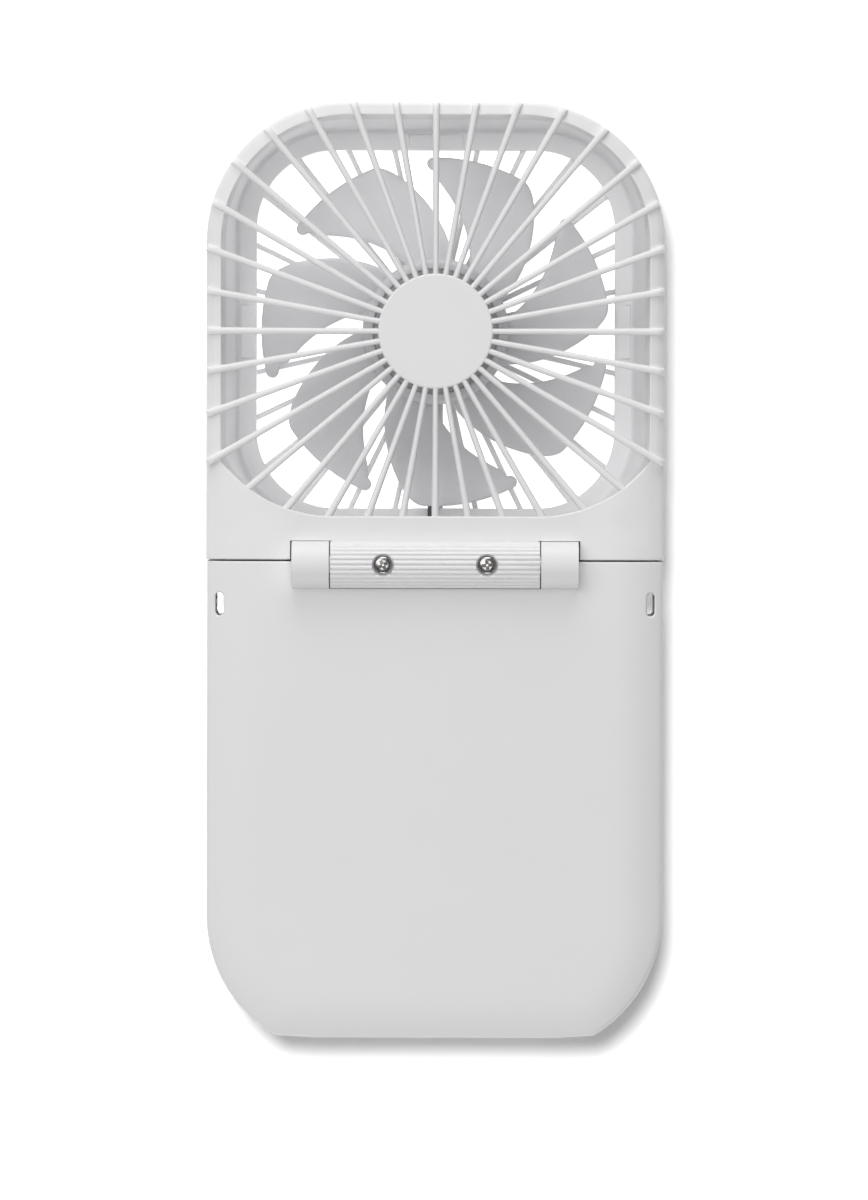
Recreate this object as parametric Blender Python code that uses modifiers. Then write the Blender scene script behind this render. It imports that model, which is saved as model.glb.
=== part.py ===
"""Foldable desk fan, lying folded out flat.

The head points to +Y, the battery base to -Y and the face with the hinge barrel up. The origin lies in
the middle of the fan's outline, on the surface that it rests on. Sizes are in metres.
"""

import math

import bmesh
import bpy
from mathutils import Matrix, Vector

MM = 0.001

# Overall sizes
HEAD_WIDTH = 90.0 * MM
HEAD_LENGTH = HEAD_WIDTH
BASE_WIDTH = HEAD_WIDTH - 0.8 * MM
BASE_LENGTH = 93.8 * MM
BODY_THICKNESS = 23.5 * MM
FOOT_STAND = 0.5 * MM
CORNER_RADIUS = 27.5 * MM
WALL = 1.8 * MM
THIN_WALL = 1.2 * MM
SPLIT_GAP = 0.3 * MM
SEAT_GAP = 0.3 * MM
ARC_STEPS = 9

# Base outline and case
END_FLAT_HALF = 23.5 * MM
END_CORNER_ANGLE = 59.4
BASE_PART_HEIGHT = 14.5 * MM
EDGE_CROWN = ((0.0, 2.2), (0.15, 1.6), (0.6, 1.1), (1.4, 0.75), (3.2, 0.3), (7.0, 0.0))
EDGE_ROUND = ((0.0, 2.4), (0.6, 0.8), (2.2, 0.0))
SLOT_EDGE = 2.2 * MM
SLOT_DROP = 8.5 * MM
SLOT_WIDTH = 1.6 * MM
SLOT_LENGTH = 4.6 * MM
SLOT_WALL = 1.0 * MM

# Hinge
AXIS_SETBACK = 0.8 * MM
AXIS_RISE = 0.35 * MM
BARREL_RADIUS = 4.6 * MM
BARREL_LENGTH = 40.9 * MM
KNUCKLE_LENGTH = 7.4 * MM
HINGE_GAP = 0.3 * MM
POCKET_GAP = 0.35 * MM
BARREL_STEPS = 32
GROOVE_COUNT = 11
GROOVE_PITCH = 12.5
GROOVE_ANGLE = 5.0
GROOVE_DEPTH = 0.35 * MM
PIN_RADIUS = 2.0 * MM
PIN_BORE_RADIUS = 1.2 * MM
LEFT_PIN_LENGTH = 11.0 * MM
RIGHT_PIN_LENGTH = 8.0 * MM
BUSH_WALL = 0.7 * MM
BUSH_LENGTH = 3.8 * MM
HINGE_SCREW_SPAN = 20.4 * MM
HINGE_SCREW_HEAD_RADIUS = 1.75 * MM
HINGE_RECESS_RADIUS = 2.15 * MM
HINGE_RECESS_DEPTH = 1.7 * MM

# Fan well and grilles
FAN_RISE = HEAD_LENGTH / 2
WELL_RISE = FAN_RISE + 0.3 * MM
WELL_HALF = HEAD_WIDTH / 2 - 6.8 * MM
WELL_CORNER = 18.5 * MM
RIM_WALL = 2.5 * MM
RIM_HALF = HEAD_WIDTH / 2 - RIM_WALL
RIM_CORNER = CORNER_RADIUS - RIM_WALL
RIM_STEP = 0.8 * MM
CHIN_HEIGHT = 8.7 * MM
CHIN_FLAT_HALF = HEAD_WIDTH / 2 - 24.8 * MM
CHIN_ARC_RADIUS = 27.5 * MM
CHIN_STEP_HEIGHT = 19.6 * MM
WELL_SIDES = 72
HEAD_PART_HEIGHT = 17.5 * MM
REAR_OPENING_HALF = WELL_HALF - 3.0 * MM
REAR_OPENING_CORNER = WELL_CORNER - 3.1 * MM
REAR_RING_HALF = WELL_HALF + 1.8 * MM
REAR_RING_WIDTH = 4.0 * MM
REAR_RING_THICKNESS = 1.4 * MM
FLANGE_THICKNESS = 1.4 * MM
FRONT_RIBS = 36
FRONT_RIB_WIDTH = 1.15 * MM
FRONT_RIB_HEIGHT = 1.8 * MM
DISC_RADIUS = 11.3 * MM
DISC_THICKNESS = 1.5 * MM
REAR_RIBS = 28
REAR_RIB_WIDTH = 1.0 * MM
WIRE_RIB_WIDTH = 2.9 * MM
REAR_HUB_RADIUS = 14.0 * MM
CLIP_LENGTH = 10.2 * MM
CLIP_THICKNESS = 1.0 * MM
CLIP_LIP = 0.9 * MM

# Rotor
BLADES = 7
HOOK_ANGLE = 92.3
HUB_RADIUS = 14.4 * MM
HUB_HEIGHT = 11.0 * MM
HUB_TOP_GAP = 2.6 * MM
HUB_WALL = 1.2 * MM
HUB_EDGE = 1.4 * MM
BLADE_RADIUS = WELL_HALF - 4.0 * MM
BLADE_ANGLE = 37.5
BLADE_THICKNESS = 1.1 * MM
BLADE_PITCH = 6.0 * MM
BLADE_DROOP = 0.22
BLADE_CORNER = 4.0 * MM

# Motor
SHAFT_RADIUS = 1.0 * MM
BEARING_RADIUS = 2.5 * MM
BEARING_LENGTH = 2.5 * MM
BOSS_WALL = 1.0 * MM
STATOR_THICKNESS = 5.0 * MM
STATOR_TEETH = 6
AIR_GAP = 0.4 * MM
MAGNET_THICKNESS = 1.2 * MM
YOKE_THICKNESS = 0.7 * MM
COIL_DEPTH = 1.1 * MM
MOTOR_BOARD_THICKNESS = 1.0 * MM
LEAD_RADIUS = 0.6 * MM
LEAD_WAY = 3.8 * MM

# Inside the base
BATTERY_SIDE = 14.6 * MM
BATTERY_DROP = 12.0 * MM
BATTERY_BEHIND = 5.8 * MM
BATTERY_THICKNESS = 10.5 * MM
PAD_THICKNESS = 0.6 * MM
BOARD_SIZE = (44.0 * MM, 10.4 * MM, 1.2 * MM)
BOARD_HEIGHT = 7.0 * MM
BOARD_SET_IN = 3.6 * MM
PORT_SIZE = (9.0 * MM, 7.3 * MM, 3.2 * MM)
PORT_X = -14.0 * MM
BUTTON_X = 14.0 * MM
BUTTON_WIDTH = 10.0 * MM
BUTTON_HEIGHT = 4.4 * MM
BUTTON_SET_IN = 0.3 * MM
BUTTON_FLANGE = 0.8 * MM
BUTTON_TRAVEL = 0.5 * MM
LAMPS = 4
LAMP_PITCH = 2.6 * MM
LAMP_RADIUS = 0.6 * MM

# Screws and feet
CASE_SCREW = dict(head=2.0 * MM, height=1.2 * MM, shank=1.0 * MM, length=10.0 * MM)
BOARD_SCREW = dict(head=1.6 * MM, height=0.9 * MM, shank=0.8 * MM, length=4.5 * MM)
HINGE_SCREW = dict(head=HINGE_SCREW_HEAD_RADIUS, height=1.2 * MM, shank=1.0 * MM, length=6.0 * MM)
FRONT_SCREW_IN = (8.6 * MM, 16.0 * MM)
BACK_SCREW_IN = (14.6 * MM, 13.8 * MM)
HEAD_SCREW_IN = (5.6 * MM, 5.6 * MM)
FOOT_RADIUS = 4.0 * MM
FOOT_RECESS = 0.6 * MM
HEAD_RECESS = 1.8 * MM

# Levels and lines worked out from the sizes above
SPLIT_Y = (BASE_LENGTH - HEAD_LENGTH) / 2
HEAD_TOP = SPLIT_Y + HEAD_LENGTH
HEAD_BOTTOM = SPLIT_Y + SPLIT_GAP / 2
BASE_TOP = SPLIT_Y - SPLIT_GAP / 2
BASE_END = SPLIT_Y - BASE_LENGTH
FLOOR = FOOT_STAND
FACE = FLOOR + BODY_THICKNESS
INNER_FLOOR = FLOOR + WALL
INNER_FACE = FACE - WALL
AXIS_Y = SPLIT_Y - AXIS_SETBACK
AXIS_Z = FACE + AXIS_RISE
POCKET_RADIUS = BARREL_RADIUS + POCKET_GAP
KNUCKLE_START = BARREL_LENGTH / 2 + HINGE_GAP
KNUCKLE_END = KNUCKLE_START + KNUCKLE_LENGTH
FAN_Y = SPLIT_Y + FAN_RISE
WELL_Y = SPLIT_Y + WELL_RISE
RIM_Z = FACE - RIM_STEP
RING_BOTTOM = FLOOR + SEAT_GAP
RING_TOP = RING_BOTTOM + REAR_RING_THICKNESS
FLANGE_BOTTOM = RING_TOP + SEAT_GAP
FLANGE_TOP = FLANGE_BOTTOM + FLANGE_THICKNESS
HEAD_PART_Z = FLOOR + HEAD_PART_HEIGHT
BASE_PART_Z = FLOOR + BASE_PART_HEIGHT
HUB_TOP = FACE - DISC_THICKNESS - HUB_TOP_GAP
HUB_BOTTOM = HUB_TOP - HUB_HEIGHT
BOARD_FRONT = BASE_END + BOARD_SET_IN
BATTERY_HALF = BASE_WIDTH / 2 - BATTERY_SIDE
BATTERY_LOW = BOARD_FRONT + BOARD_SIZE[1] + BATTERY_BEHIND
BATTERY_TOP = SPLIT_Y - BATTERY_DROP
PORT_Z = FLOOR + BOARD_HEIGHT + BOARD_SIZE[2] + SEAT_GAP + PORT_SIZE[2] / 2

HIDDEN = bpy.data.collections.new("construction")
FAN = bpy.data.collections.new("foldable_desk_fan")


def clear_scene():
    for thing in list(bpy.data.objects):
        bpy.data.objects.remove(thing, do_unlink=True)
    bpy.context.scene.collection.children.link(FAN)
    bpy.context.scene.collection.children.link(HIDDEN)


def material(name, colour, roughness, metallic=0.0):
    made = bpy.data.materials.new(name)
    made.use_nodes = True
    shader = made.node_tree.nodes["Principled BSDF"]
    shader.inputs["Base Color"].default_value = (*colour, 1.0)
    shader.inputs["Roughness"].default_value = roughness
    shader.inputs["Metallic"].default_value = metallic
    made.diffuse_color = (*colour, 1.0)
    return made


def frame_at(name, place, parent=None):
    """An empty on a joint's axis, which carries everything that moves with that joint."""
    empty = bpy.data.objects.new(name, None)
    FAN.objects.link(empty)
    empty.location = Vector(place)
    if parent:
        empty.parent = parent
        empty.location -= parent.location
    bpy.context.view_layer.update()
    return empty


def piece(thing, finish, carrier):
    """Puts a finished solid in the fan's collection, on its carrier and in its material."""
    thing.data.materials.clear()
    thing.data.materials.append(finish)
    if thing.name in HIDDEN.objects:
        HIDDEN.objects.unlink(thing)
    FAN.objects.link(thing)
    thing.hide_render = False
    thing.display_type = "TEXTURED"
    if carrier:
        thing.parent = carrier
        thing.matrix_parent_inverse = carrier.matrix_world.inverted()
    return thing


def guide(name, data):
    """A solid used to cut or join others. It stays in the construction collection."""
    thing = bpy.data.objects.new(name, data)
    thing.hide_render = True
    thing.display_type = "WIRE"
    HIDDEN.objects.link(thing)
    return thing


def solid_from(name, bm):
    bmesh.ops.recalc_face_normals(bm, faces=bm.faces)
    mesh = bpy.data.meshes.new(name)
    bm.to_mesh(mesh)
    bm.free()
    return guide(name, mesh)


def block(name, low, high):
    """A box between two corners."""
    bm = bmesh.new()
    bmesh.ops.create_cube(bm, size=1.0)
    size = [b - a for a, b in zip(low, high)]
    middle = [(a + b) / 2 for a, b in zip(low, high)]
    bmesh.ops.transform(bm, matrix=Matrix.Translation(middle) @ Matrix.Diagonal((*size, 1.0)), verts=bm.verts)
    return solid_from(name, bm)


def rod(name, radius, start, end, steps=24):
    """A round bar between two points."""
    start = Vector(start)
    run = Vector(end) - start
    bm = bmesh.new()
    bmesh.ops.create_cone(
        bm, cap_ends=True, segments=steps, radius1=radius, radius2=radius, depth=run.length
    )
    turn = run.to_track_quat("Z", "Y").to_matrix().to_4x4()
    bmesh.ops.transform(bm, matrix=Matrix.Translation(start + run / 2) @ turn, verts=bm.verts)
    return solid_from(name, bm)


def loft(name, rings):
    """A skin through rings of like count, closed by a flat face at each end."""
    bm = bmesh.new()
    rows = [[bm.verts.new(point) for point in ring] for ring in rings]
    for low, high in zip(rows, rows[1:]):
        for i in range(len(low)):
            bm.faces.new((low[i - 1], low[i], high[i], high[i - 1]))
    bm.faces.new(rows[0])
    bm.faces.new(rows[-1])
    return solid_from(name, bm)


def tray(name, rings):
    """A shell of even wall whose mouth is the first ring and whose face is the last."""
    thing = loft(name, rings)
    bm = bmesh.new()
    bm.from_mesh(thing.data)
    mouth = max(bm.faces, key=lambda face: (len(face.verts) > 4, abs(face.calc_center_median().z - rings[-1][0][2])))
    bmesh.ops.delete(bm, geom=[mouth], context="FACES_ONLY")
    bm.to_mesh(thing.data)
    bm.free()
    wall = thing.modifiers.new("wall", "SOLIDIFY")
    wall.thickness = WALL
    wall.offset = -1
    wall.use_even_offset = True
    return thing


def plate(name, outline, bottom, top):
    """A flat outline given thickness: a filled curve, made a mesh so that it can cut and join."""
    curve = bpy.data.curves.new(name, "CURVE")
    curve.dimensions = "2D"
    curve.fill_mode = "BOTH"
    curve.extrude = (top - bottom) / 2
    spline = curve.splines.new("POLY")
    spline.points.add(len(outline) - 1)
    for point, (x, y) in zip(spline.points, outline):
        point.co = (x, y, 0.0, 1.0)
    spline.use_cyclic_u = True
    drawn = bpy.data.objects.new(name, curve)
    drawn.location.z = (bottom + top) / 2
    return welded_mesh(drawn)


def welded_mesh(drawn):
    """The mesh of a curve object, with its loose caps welded on, in place of the curve."""
    bpy.context.scene.collection.objects.link(drawn)
    bpy.context.view_layer.update()
    mesh = bpy.data.meshes.new_from_object(drawn.evaluated_get(bpy.context.evaluated_depsgraph_get()))
    bm = bmesh.new()
    bm.from_mesh(mesh)
    bmesh.ops.remove_doubles(bm, verts=bm.verts, dist=0.001 * MM)
    bmesh.ops.transform(bm, matrix=drawn.matrix_world, verts=bm.verts)
    bpy.data.meshes.remove(mesh)
    name = drawn.name
    bpy.data.objects.remove(drawn, do_unlink=True)
    return solid_from(name, bm)


def bar_along_x(name, outline, start, end):
    """An outline in Y and Z drawn out along X."""
    thing = plate(name, outline, start, end)
    thing.data.transform(Matrix(((0, 0, 1, 0), (1, 0, 0, 0), (0, 1, 0, 0), (0, 0, 0, 1))))
    return thing


def bar_along_y(name, outline, start, end):
    """An outline in X and Z drawn out along Y."""
    thing = plate(name, outline, -end, -start)
    thing.data.transform(Matrix(((1, 0, 0, 0), (0, 0, -1, 0), (0, 1, 0, 0), (0, 0, 0, 1))))
    return thing


def turned(name, profile, place, steps=24):
    """A profile of (radius, height) points turned about an upright axis at a place."""
    mesh = bpy.data.meshes.new(name)
    closed = profile[0][0] > 0
    edges = [(i, i + 1) for i in range(len(profile) - 1)]
    if closed:
        edges.append((len(profile) - 1, 0))
    mesh.from_pydata([(r, 0.0, z) for r, z in profile], edges, [])
    thing = guide(name, mesh)
    thing.location = Vector(place)
    spin = thing.modifiers.new("turn", "SCREW")
    spin.steps = steps
    spin.render_steps = steps
    spin.use_merge_vertices = True
    spin.merge_threshold = 0.001 * MM
    return thing


def baked(thing):
    """The object's evaluated mesh in place, with its modifiers used up."""
    bpy.context.view_layer.update()
    mesh = bpy.data.meshes.new_from_object(thing.evaluated_get(bpy.context.evaluated_depsgraph_get()))
    thing.modifiers.clear()
    thing.data = mesh
    return thing


def join(thing, other):
    change = thing.modifiers.new("join " + other.name, "BOOLEAN")
    change.operation = "UNION"
    change.object = other


def cut(thing, other):
    change = thing.modifiers.new("cut " + other.name, "BOOLEAN")
    change.operation = "DIFFERENCE"
    change.object = other


def tube(name, points, radius):
    """A lead along a smooth curve through chosen points."""
    curve = bpy.data.curves.new(name, "CURVE")
    curve.dimensions = "3D"
    curve.bevel_depth = radius
    curve.bevel_resolution = 2
    curve.use_fill_caps = True
    spline = curve.splines.new("POLY")
    smooth = smooth_route([Vector(point) for point in points])
    spline.points.add(len(smooth) - 1)
    for point, place in zip(spline.points, smooth):
        point.co = (*place, 1.0)
    return welded_mesh(bpy.data.objects.new(name, curve))


def smooth_route(points, steps=2):
    """Points of a Catmull-Rom curve through the route's own points."""
    ends = [2 * points[0] - points[1], *points, 2 * points[-1] - points[-2]]
    route = [points[0]]
    for a, b, c, d in zip(ends, ends[1:], ends[2:], ends[3:]):
        for k in range(1, steps + 1):
            t = k / steps
            pull = (c - a) * t + (2 * a - 5 * b + 4 * c - d) * t**2 + (3 * b - a - 3 * c + d) * t**3
            route.append(b + pull / 2)
    return route


def arc(x, y, radius, start, end, steps=ARC_STEPS):
    """Points of an arc from one angle to another, in degrees, both ends included."""
    angles = [math.radians(start + (end - start) * i / steps) for i in range(steps + 1)]
    return [(x + radius * math.cos(a), y + radius * math.sin(a)) for a in angles]


def rounded_square(half, corner, y, steps=ARC_STEPS):
    side = half - corner
    points = []
    for quarter, (sx, sy) in enumerate(((1, 1), (-1, 1), (-1, -1), (1, -1))):
        points += arc(sx * side, y + sy * side, corner, 90 * quarter, 90 * quarter + 90, steps)
    return points


def pill(x, y, width, length, steps=6):
    """A slot with round ends, longer along Y, or along X where its width is the larger."""
    radius = min(width, length) / 2
    reach = abs(length - width) / 2
    if length >= width:
        return arc(x, y + reach, radius, 0, 180, steps) + arc(x, y - reach, radius, 180, 360, steps)
    return arc(x + reach, y, radius, -90, 90, steps) + arc(x - reach, y, radius, 90, 270, steps)


def head_outline(inset=0.0):
    """The head seen from above: round top corners and a straight lower edge at the split."""
    side = HEAD_WIDTH / 2 - CORNER_RADIUS
    top = HEAD_TOP - CORNER_RADIUS
    radius = CORNER_RADIUS - inset
    edge = HEAD_WIDTH / 2 - inset
    corners = arc(side, top, radius, 0, 90) + arc(-side, top, radius, 90, 180)
    return [(edge, HEAD_BOTTOM), *corners, (-edge, HEAD_BOTTOM)]


def base_outline(inset=0.0):
    """The base seen from above: its corner arcs stop short at a flat end."""
    side = BASE_WIDTH / 2 - CORNER_RADIUS
    low = BASE_END + CORNER_RADIUS - 3.4 * MM
    radius = CORNER_RADIUS - inset
    edge = BASE_WIDTH / 2 - inset
    left = arc(-side, low, radius, 180, 180 + END_CORNER_ANGLE)
    right = arc(side, low, radius, -END_CORNER_ANGLE, 0)
    end = [(-END_FLAT_HALF, BASE_END + inset), (END_FLAT_HALF, BASE_END + inset)]
    return [(-edge, BASE_TOP), *left, *end, *right, (edge, BASE_TOP)]


def at_height(outline, z):
    return [(x, y, z) for x, y in outline]


def edge_rings(outline, part_z, face_z, section):
    """Rings from the part line to a face, drawn in near the face as the edge section says."""
    away = 1 if face_z > part_z else -1
    rings = [at_height(outline(0.0), part_z)]
    for inset, drop in section:
        rings.append(at_height(outline(inset * MM), face_z - away * drop * MM))
    return rings


def grille_opening(outset=0.0):
    """The opening of the face: round top corners, and below them the two arcs of the chin's edge."""
    half = RIM_HALF + outset
    side = RIM_HALF - RIM_CORNER
    top = WELL_Y + RIM_HALF - RIM_CORNER
    low = SPLIT_Y + CHIN_HEIGHT + CHIN_ARC_RADIUS
    radius = CHIN_ARC_RADIUS + outset
    meet = math.degrees(math.acos(min(1.0, (half - CHIN_FLAT_HALF) / radius)))
    upper = arc(side, top, RIM_CORNER + outset, 0, 90) + arc(-side, top, RIM_CORNER + outset, 90, 180)
    lower = arc(-CHIN_FLAT_HALF, low, radius, 180 + meet, 270) + arc(CHIN_FLAT_HALF, low, radius, 270, 360 - meet)
    return upper + lower


def reach_of(outline, origin, angle):
    """How far a ray from the origin runs before it leaves an outline, and the slant of what it meets."""
    ray = Vector((math.cos(angle), math.sin(angle)))
    best = (0.0, 0.0)
    for (ax, ay), (bx, by) in zip(outline, outline[1:] + outline[:1]):
        side = Vector((bx - ax, by - ay))
        gap = Vector((ax, ay)) - Vector(origin)
        turn = ray.cross(side)
        if abs(turn) < 1e-12:
            continue
        along = gap.cross(side) / turn
        across = gap.cross(ray) / turn
        if along > best[0] and -1e-9 <= across <= 1 + 1e-9:
            best = (along, abs(ray.dot(side.normalized())))
    return best


def by_angle(outline, y):
    """An outline met by even rays from a point on the middle line, so that unlike outlines can be lofted."""
    angles = [math.tau * i / WELL_SIDES for i in range(WELL_SIDES)]
    reaches = [reach_of(outline, (0.0, y), angle)[0] for angle in angles]
    return [(r * math.cos(a), y + r * math.sin(a)) for r, a in zip(reaches, angles)]


def well_ring(z, outset=0.0):
    """The well's outline at a height: a rounded square at the flange, the face's opening at the rim."""
    share = min(1.0, max(0.0, (z - FLANGE_TOP) / (RIM_Z - FLANGE_TOP)))
    low = by_angle(rounded_square(WELL_HALF + outset, WELL_CORNER + outset, WELL_Y), WELL_Y)
    high = by_angle(grille_opening(outset), WELL_Y)
    return [(a * (1 - share) + c * share, b * (1 - share) + d * share, z) for (a, b), (c, d) in zip(low, high)]


def spokes(name, count, width, start, ends, low, high):
    """Straight bars from the fan's axis outwards, as one mesh. Each end is (angle, reach, width)."""
    bm = bmesh.new()
    for angle, reach, wide in ends:
        middle = Vector(((start + reach) / 2, 0.0, (low + high) / 2))
        size = Matrix.Diagonal((reach - start, wide or width, high - low, 1.0))
        place = Matrix.Translation((0.0, FAN_Y, 0.0)) @ Matrix.Rotation(angle, 4, "Z") @ Matrix.Translation(middle)
        bmesh.ops.create_cube(bm, size=1.0, matrix=place @ size)
    return solid_from(name, bm)


def pan_screw(name, head, height, shank, length):
    """A cross-recessed pan head screw, head up, with the underside of its head at its origin."""
    tip = shank
    profile = [
        (0.0, height),
        (0.62 * head, 0.92 * height),
        (0.94 * head, 0.55 * height),
        (head, 0.0),
        (shank, 0.0),
        (shank, tip - length),
        (0.0, -length),
    ]
    thing = turned(name, profile, (0.0, 0.0, 0.0), 12)
    half = 0.52 * head
    arm = 0.13 * head
    for i, (x, y) in enumerate(((arm, half), (half, arm))):
        cut(thing, block(f"{name}_recess_{i}", (-x, -y, 0.35 * height), (x, y, 1.2 * height)))
    return baked(thing)


def place_screws(pattern, names_places, finish, carrier, flip=False):
    """Copies of one screw that share its mesh, head down where they are driven from below."""
    for name, place in names_places:
        copy = bpy.data.objects.new(name, pattern.data.copy())
        copy.location = Vector(place)
        if flip:
            copy.rotation_euler.x = math.pi
        HIDDEN.objects.link(copy)
        piece(copy, finish, carrier)
    bpy.data.objects.remove(pattern, do_unlink=True)


def upright(name, radius, place, low, high, steps=16):
    return rod(name, radius, (*place, low), (*place, high), steps)


def case_screw_points():
    """Where the case screws stand, in plan."""
    half = BASE_WIDTH / 2
    front = (half - FRONT_SCREW_IN[0], SPLIT_Y - FRONT_SCREW_IN[1])
    back = (half - BACK_SCREW_IN[0], BASE_END + BACK_SCREW_IN[1])
    return [(side * x, y) for x, y in (front, back) for side in (-1, 1)]


CASE_SHOULDER = FLOOR + FOOT_RECESS + HEAD_RECESS
BOSS_MEET = FLOOR + 6.0 * MM
SCREW_HOLE = CASE_SCREW["shank"] + SEAT_GAP
LOWER_BOSS = 3.2 * MM
UPPER_BOSS = 2.5 * MM


def screw_tower(shell, name, place, recess_top, shoulder):
    """The lower shell's tower for a screw driven from below: a counterbore, a shoulder and a hole."""
    join(shell, upright(name + "_tower", LOWER_BOSS, place, FLOOR + WALL / 2, BOSS_MEET - SEAT_GAP / 2))
    cut(shell, upright(name + "_counterbore", CASE_SCREW["head"] + SEAT_GAP, place, recess_top, shoulder))
    cut(shell, upright(name + "_hole", SCREW_HOLE, place, shoulder - MM / 2, BOSS_MEET + MM))


def screw_boss(shell, name, place, tip):
    """The upper shell's boss that the same screw bites into."""
    join(shell, upright(name + "_boss", UPPER_BOSS, place, BOSS_MEET + SEAT_GAP / 2, INNER_FACE + WALL / 3))
    cut(shell, upright(name + "_bite", SCREW_HOLE, place, BOSS_MEET - MM, tip + MM))


def slot_place(side):
    return side * (BASE_WIDTH / 2 - SLOT_EDGE), SPLIT_Y - SLOT_DROP


def add_slots(shell, name, low, high):
    """The narrow lanyard slots: a walled column each side, cut through from face to face."""
    for side in (-1, 1):
        x, y = slot_place(side)
        column = pill(x, y, SLOT_WIDTH + 2 * SLOT_WALL, SLOT_LENGTH + 2 * SLOT_WALL)
        join(shell, plate(f"{name}_column_{side}", column, low, high))
        cut(shell, plate(f"{name}_slot_{side}", pill(x, y, SLOT_WIDTH, SLOT_LENGTH), FLOOR - MM, FACE + MM))


def half_disc(radius, start, end, lift):
    """Half of the barrel's section in Y and Z, cut flat a little off the hinge axis."""
    drop = math.degrees(math.asin(lift / radius))
    if start < 180:
        return arc(AXIS_Y, AXIS_Z, radius, start + drop, end - drop, BARREL_STEPS // 2)
    return arc(AXIS_Y, AXIS_Z, radius, start + drop, end - drop, BARREL_STEPS // 2)


def lead_drop():
    """The space at the right knuckle's far end where the wire drops into the base."""
    far = KNUCKLE_END - 0.8 * MM
    floor = AXIS_Z - POCKET_RADIUS - 2.0 * MM
    step = AXIS_Z - 3.7 * MM
    near = AXIS_Y - 3.5 * MM
    upper = block("lead_drop_upper", (BUSH_END, near, step), (far, AXIS_Y + 1.2 * MM, AXIS_Z + 1.2 * MM))
    lower = block("lead_drop_lower", (BUSH_END, near - 0.4 * MM, floor), (far, BASE_TOP - 0.9 * MM, step + 0.1 * MM))
    return upper, lower


BUSH_RADIUS = PIN_RADIUS + SEAT_GAP + BUSH_WALL
BUSH_START = KNUCKLE_START + SEAT_GAP
BUSH_END = BUSH_START + BUSH_LENGTH + SEAT_GAP


def build_base_top(white):
    """The blank cover with the hinge knuckles on it."""
    low = BASE_PART_Z + SEAT_GAP / 2
    shell = loft("base_top_cover", edge_rings(base_outline, low, FACE, EDGE_CROWN))
    hollow = [(x, min(y, BASE_TOP - WALL)) for x, y in base_outline(WALL)]
    cut(shell, plate("base_hollow", hollow, low - MM, INNER_FACE))
    block_low = (-KNUCKLE_END - WALL, AXIS_Y - POCKET_RADIUS - WALL, AXIS_Z - POCKET_RADIUS - THIN_WALL)
    join(shell, block("hinge_block", block_low, (KNUCKLE_END + WALL, BASE_TOP - WALL / 4, FACE - WALL / 2)))
    add_slots(shell, "upper", low, FACE - 1.3 * MM)
    for i, place in enumerate(case_screw_points()):
        screw_boss(shell, f"case_{i}", place, CASE_SHOULDER + CASE_SCREW["length"])
    pocket = POCKET_RADIUS, (-KNUCKLE_START, AXIS_Y, AXIS_Z), (KNUCKLE_START, AXIS_Y, AXIS_Z)
    cut(shell, rod("barrel_pocket", *pocket, BARREL_STEPS))
    for side in (-1, 1):
        ends = (side * KNUCKLE_START, AXIS_Y, AXIS_Z), (side * KNUCKLE_END, AXIS_Y, AXIS_Z)
        join(shell, rod(f"knuckle_{side}", BARREL_RADIUS, *ends, BARREL_STEPS))
        bore = (side * (KNUCKLE_START - MM), AXIS_Y, AXIS_Z), (side * BUSH_END, AXIS_Y, AXIS_Z)
        cut(shell, rod(f"knuckle_bore_{side}", BUSH_RADIUS + SEAT_GAP, *bore, 24))
    for way in lead_drop():
        cut(shell, way)
    return piece(shell, white, None)


def build_base_bottom(white):
    """The cover that lies on the desk, with the ports in its end wall."""
    high = BASE_PART_Z - SEAT_GAP / 2
    shell = tray("base_bottom_cover", edge_rings(base_outline, high, FLOOR, EDGE_ROUND))
    add_slots(shell, "lower", FLOOR + 1.0 * MM, high)
    for i, place in enumerate(case_screw_points()):
        cut(shell, upright(f"foot_recess_{i}", FOOT_RADIUS + SEAT_GAP, place, FLOOR - MM, FLOOR + FOOT_RECESS))
        screw_tower(shell, f"case_{i}", place, FLOOR, CASE_SHOULDER)
    for i, (x, y) in enumerate(board_screw_points()):
        join(shell, upright(f"board_post_{i}", 2.2 * MM, (x, y), FLOOR + WALL / 2, FLOOR + BOARD_HEIGHT - SEAT_GAP))
        cut(shell, upright(f"board_bite_{i}", BOARD_SCREW["shank"] + SEAT_GAP, (x, y), INNER_FLOOR, FACE))
    ends = BASE_END - MM, BASE_END + WALL + MM
    port = pill(PORT_X, PORT_Z, PORT_SIZE[0] + 2 * SEAT_GAP, PORT_SIZE[2] + 2 * SEAT_GAP)
    cut(shell, bar_along_y("port_hole", port, *ends))
    button = pill(BUTTON_X, PORT_Z, BUTTON_WIDTH + 2 * SEAT_GAP, BUTTON_HEIGHT + 2 * SEAT_GAP)
    cut(shell, bar_along_y("button_hole", button, *ends))
    for i, x in enumerate(lamp_places()):
        lamp = (x, BASE_END - MM, PORT_Z), (x, BASE_END + WALL + MM, PORT_Z)
        cut(shell, rod(f"lamp_hole_{i}", LAMP_RADIUS + SEAT_GAP, *lamp, 12))
    return piece(shell, white, None)


def board_screw_points():
    half = BOARD_SIZE[0] / 2 - 3.0 * MM
    y = BOARD_FRONT + BOARD_SIZE[1] - 2.6 * MM
    return [(-half, y), (half, y)]


def lamp_places():
    return [(i - (LAMPS - 1) / 2) * LAMP_PITCH for i in range(LAMPS)]


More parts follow.
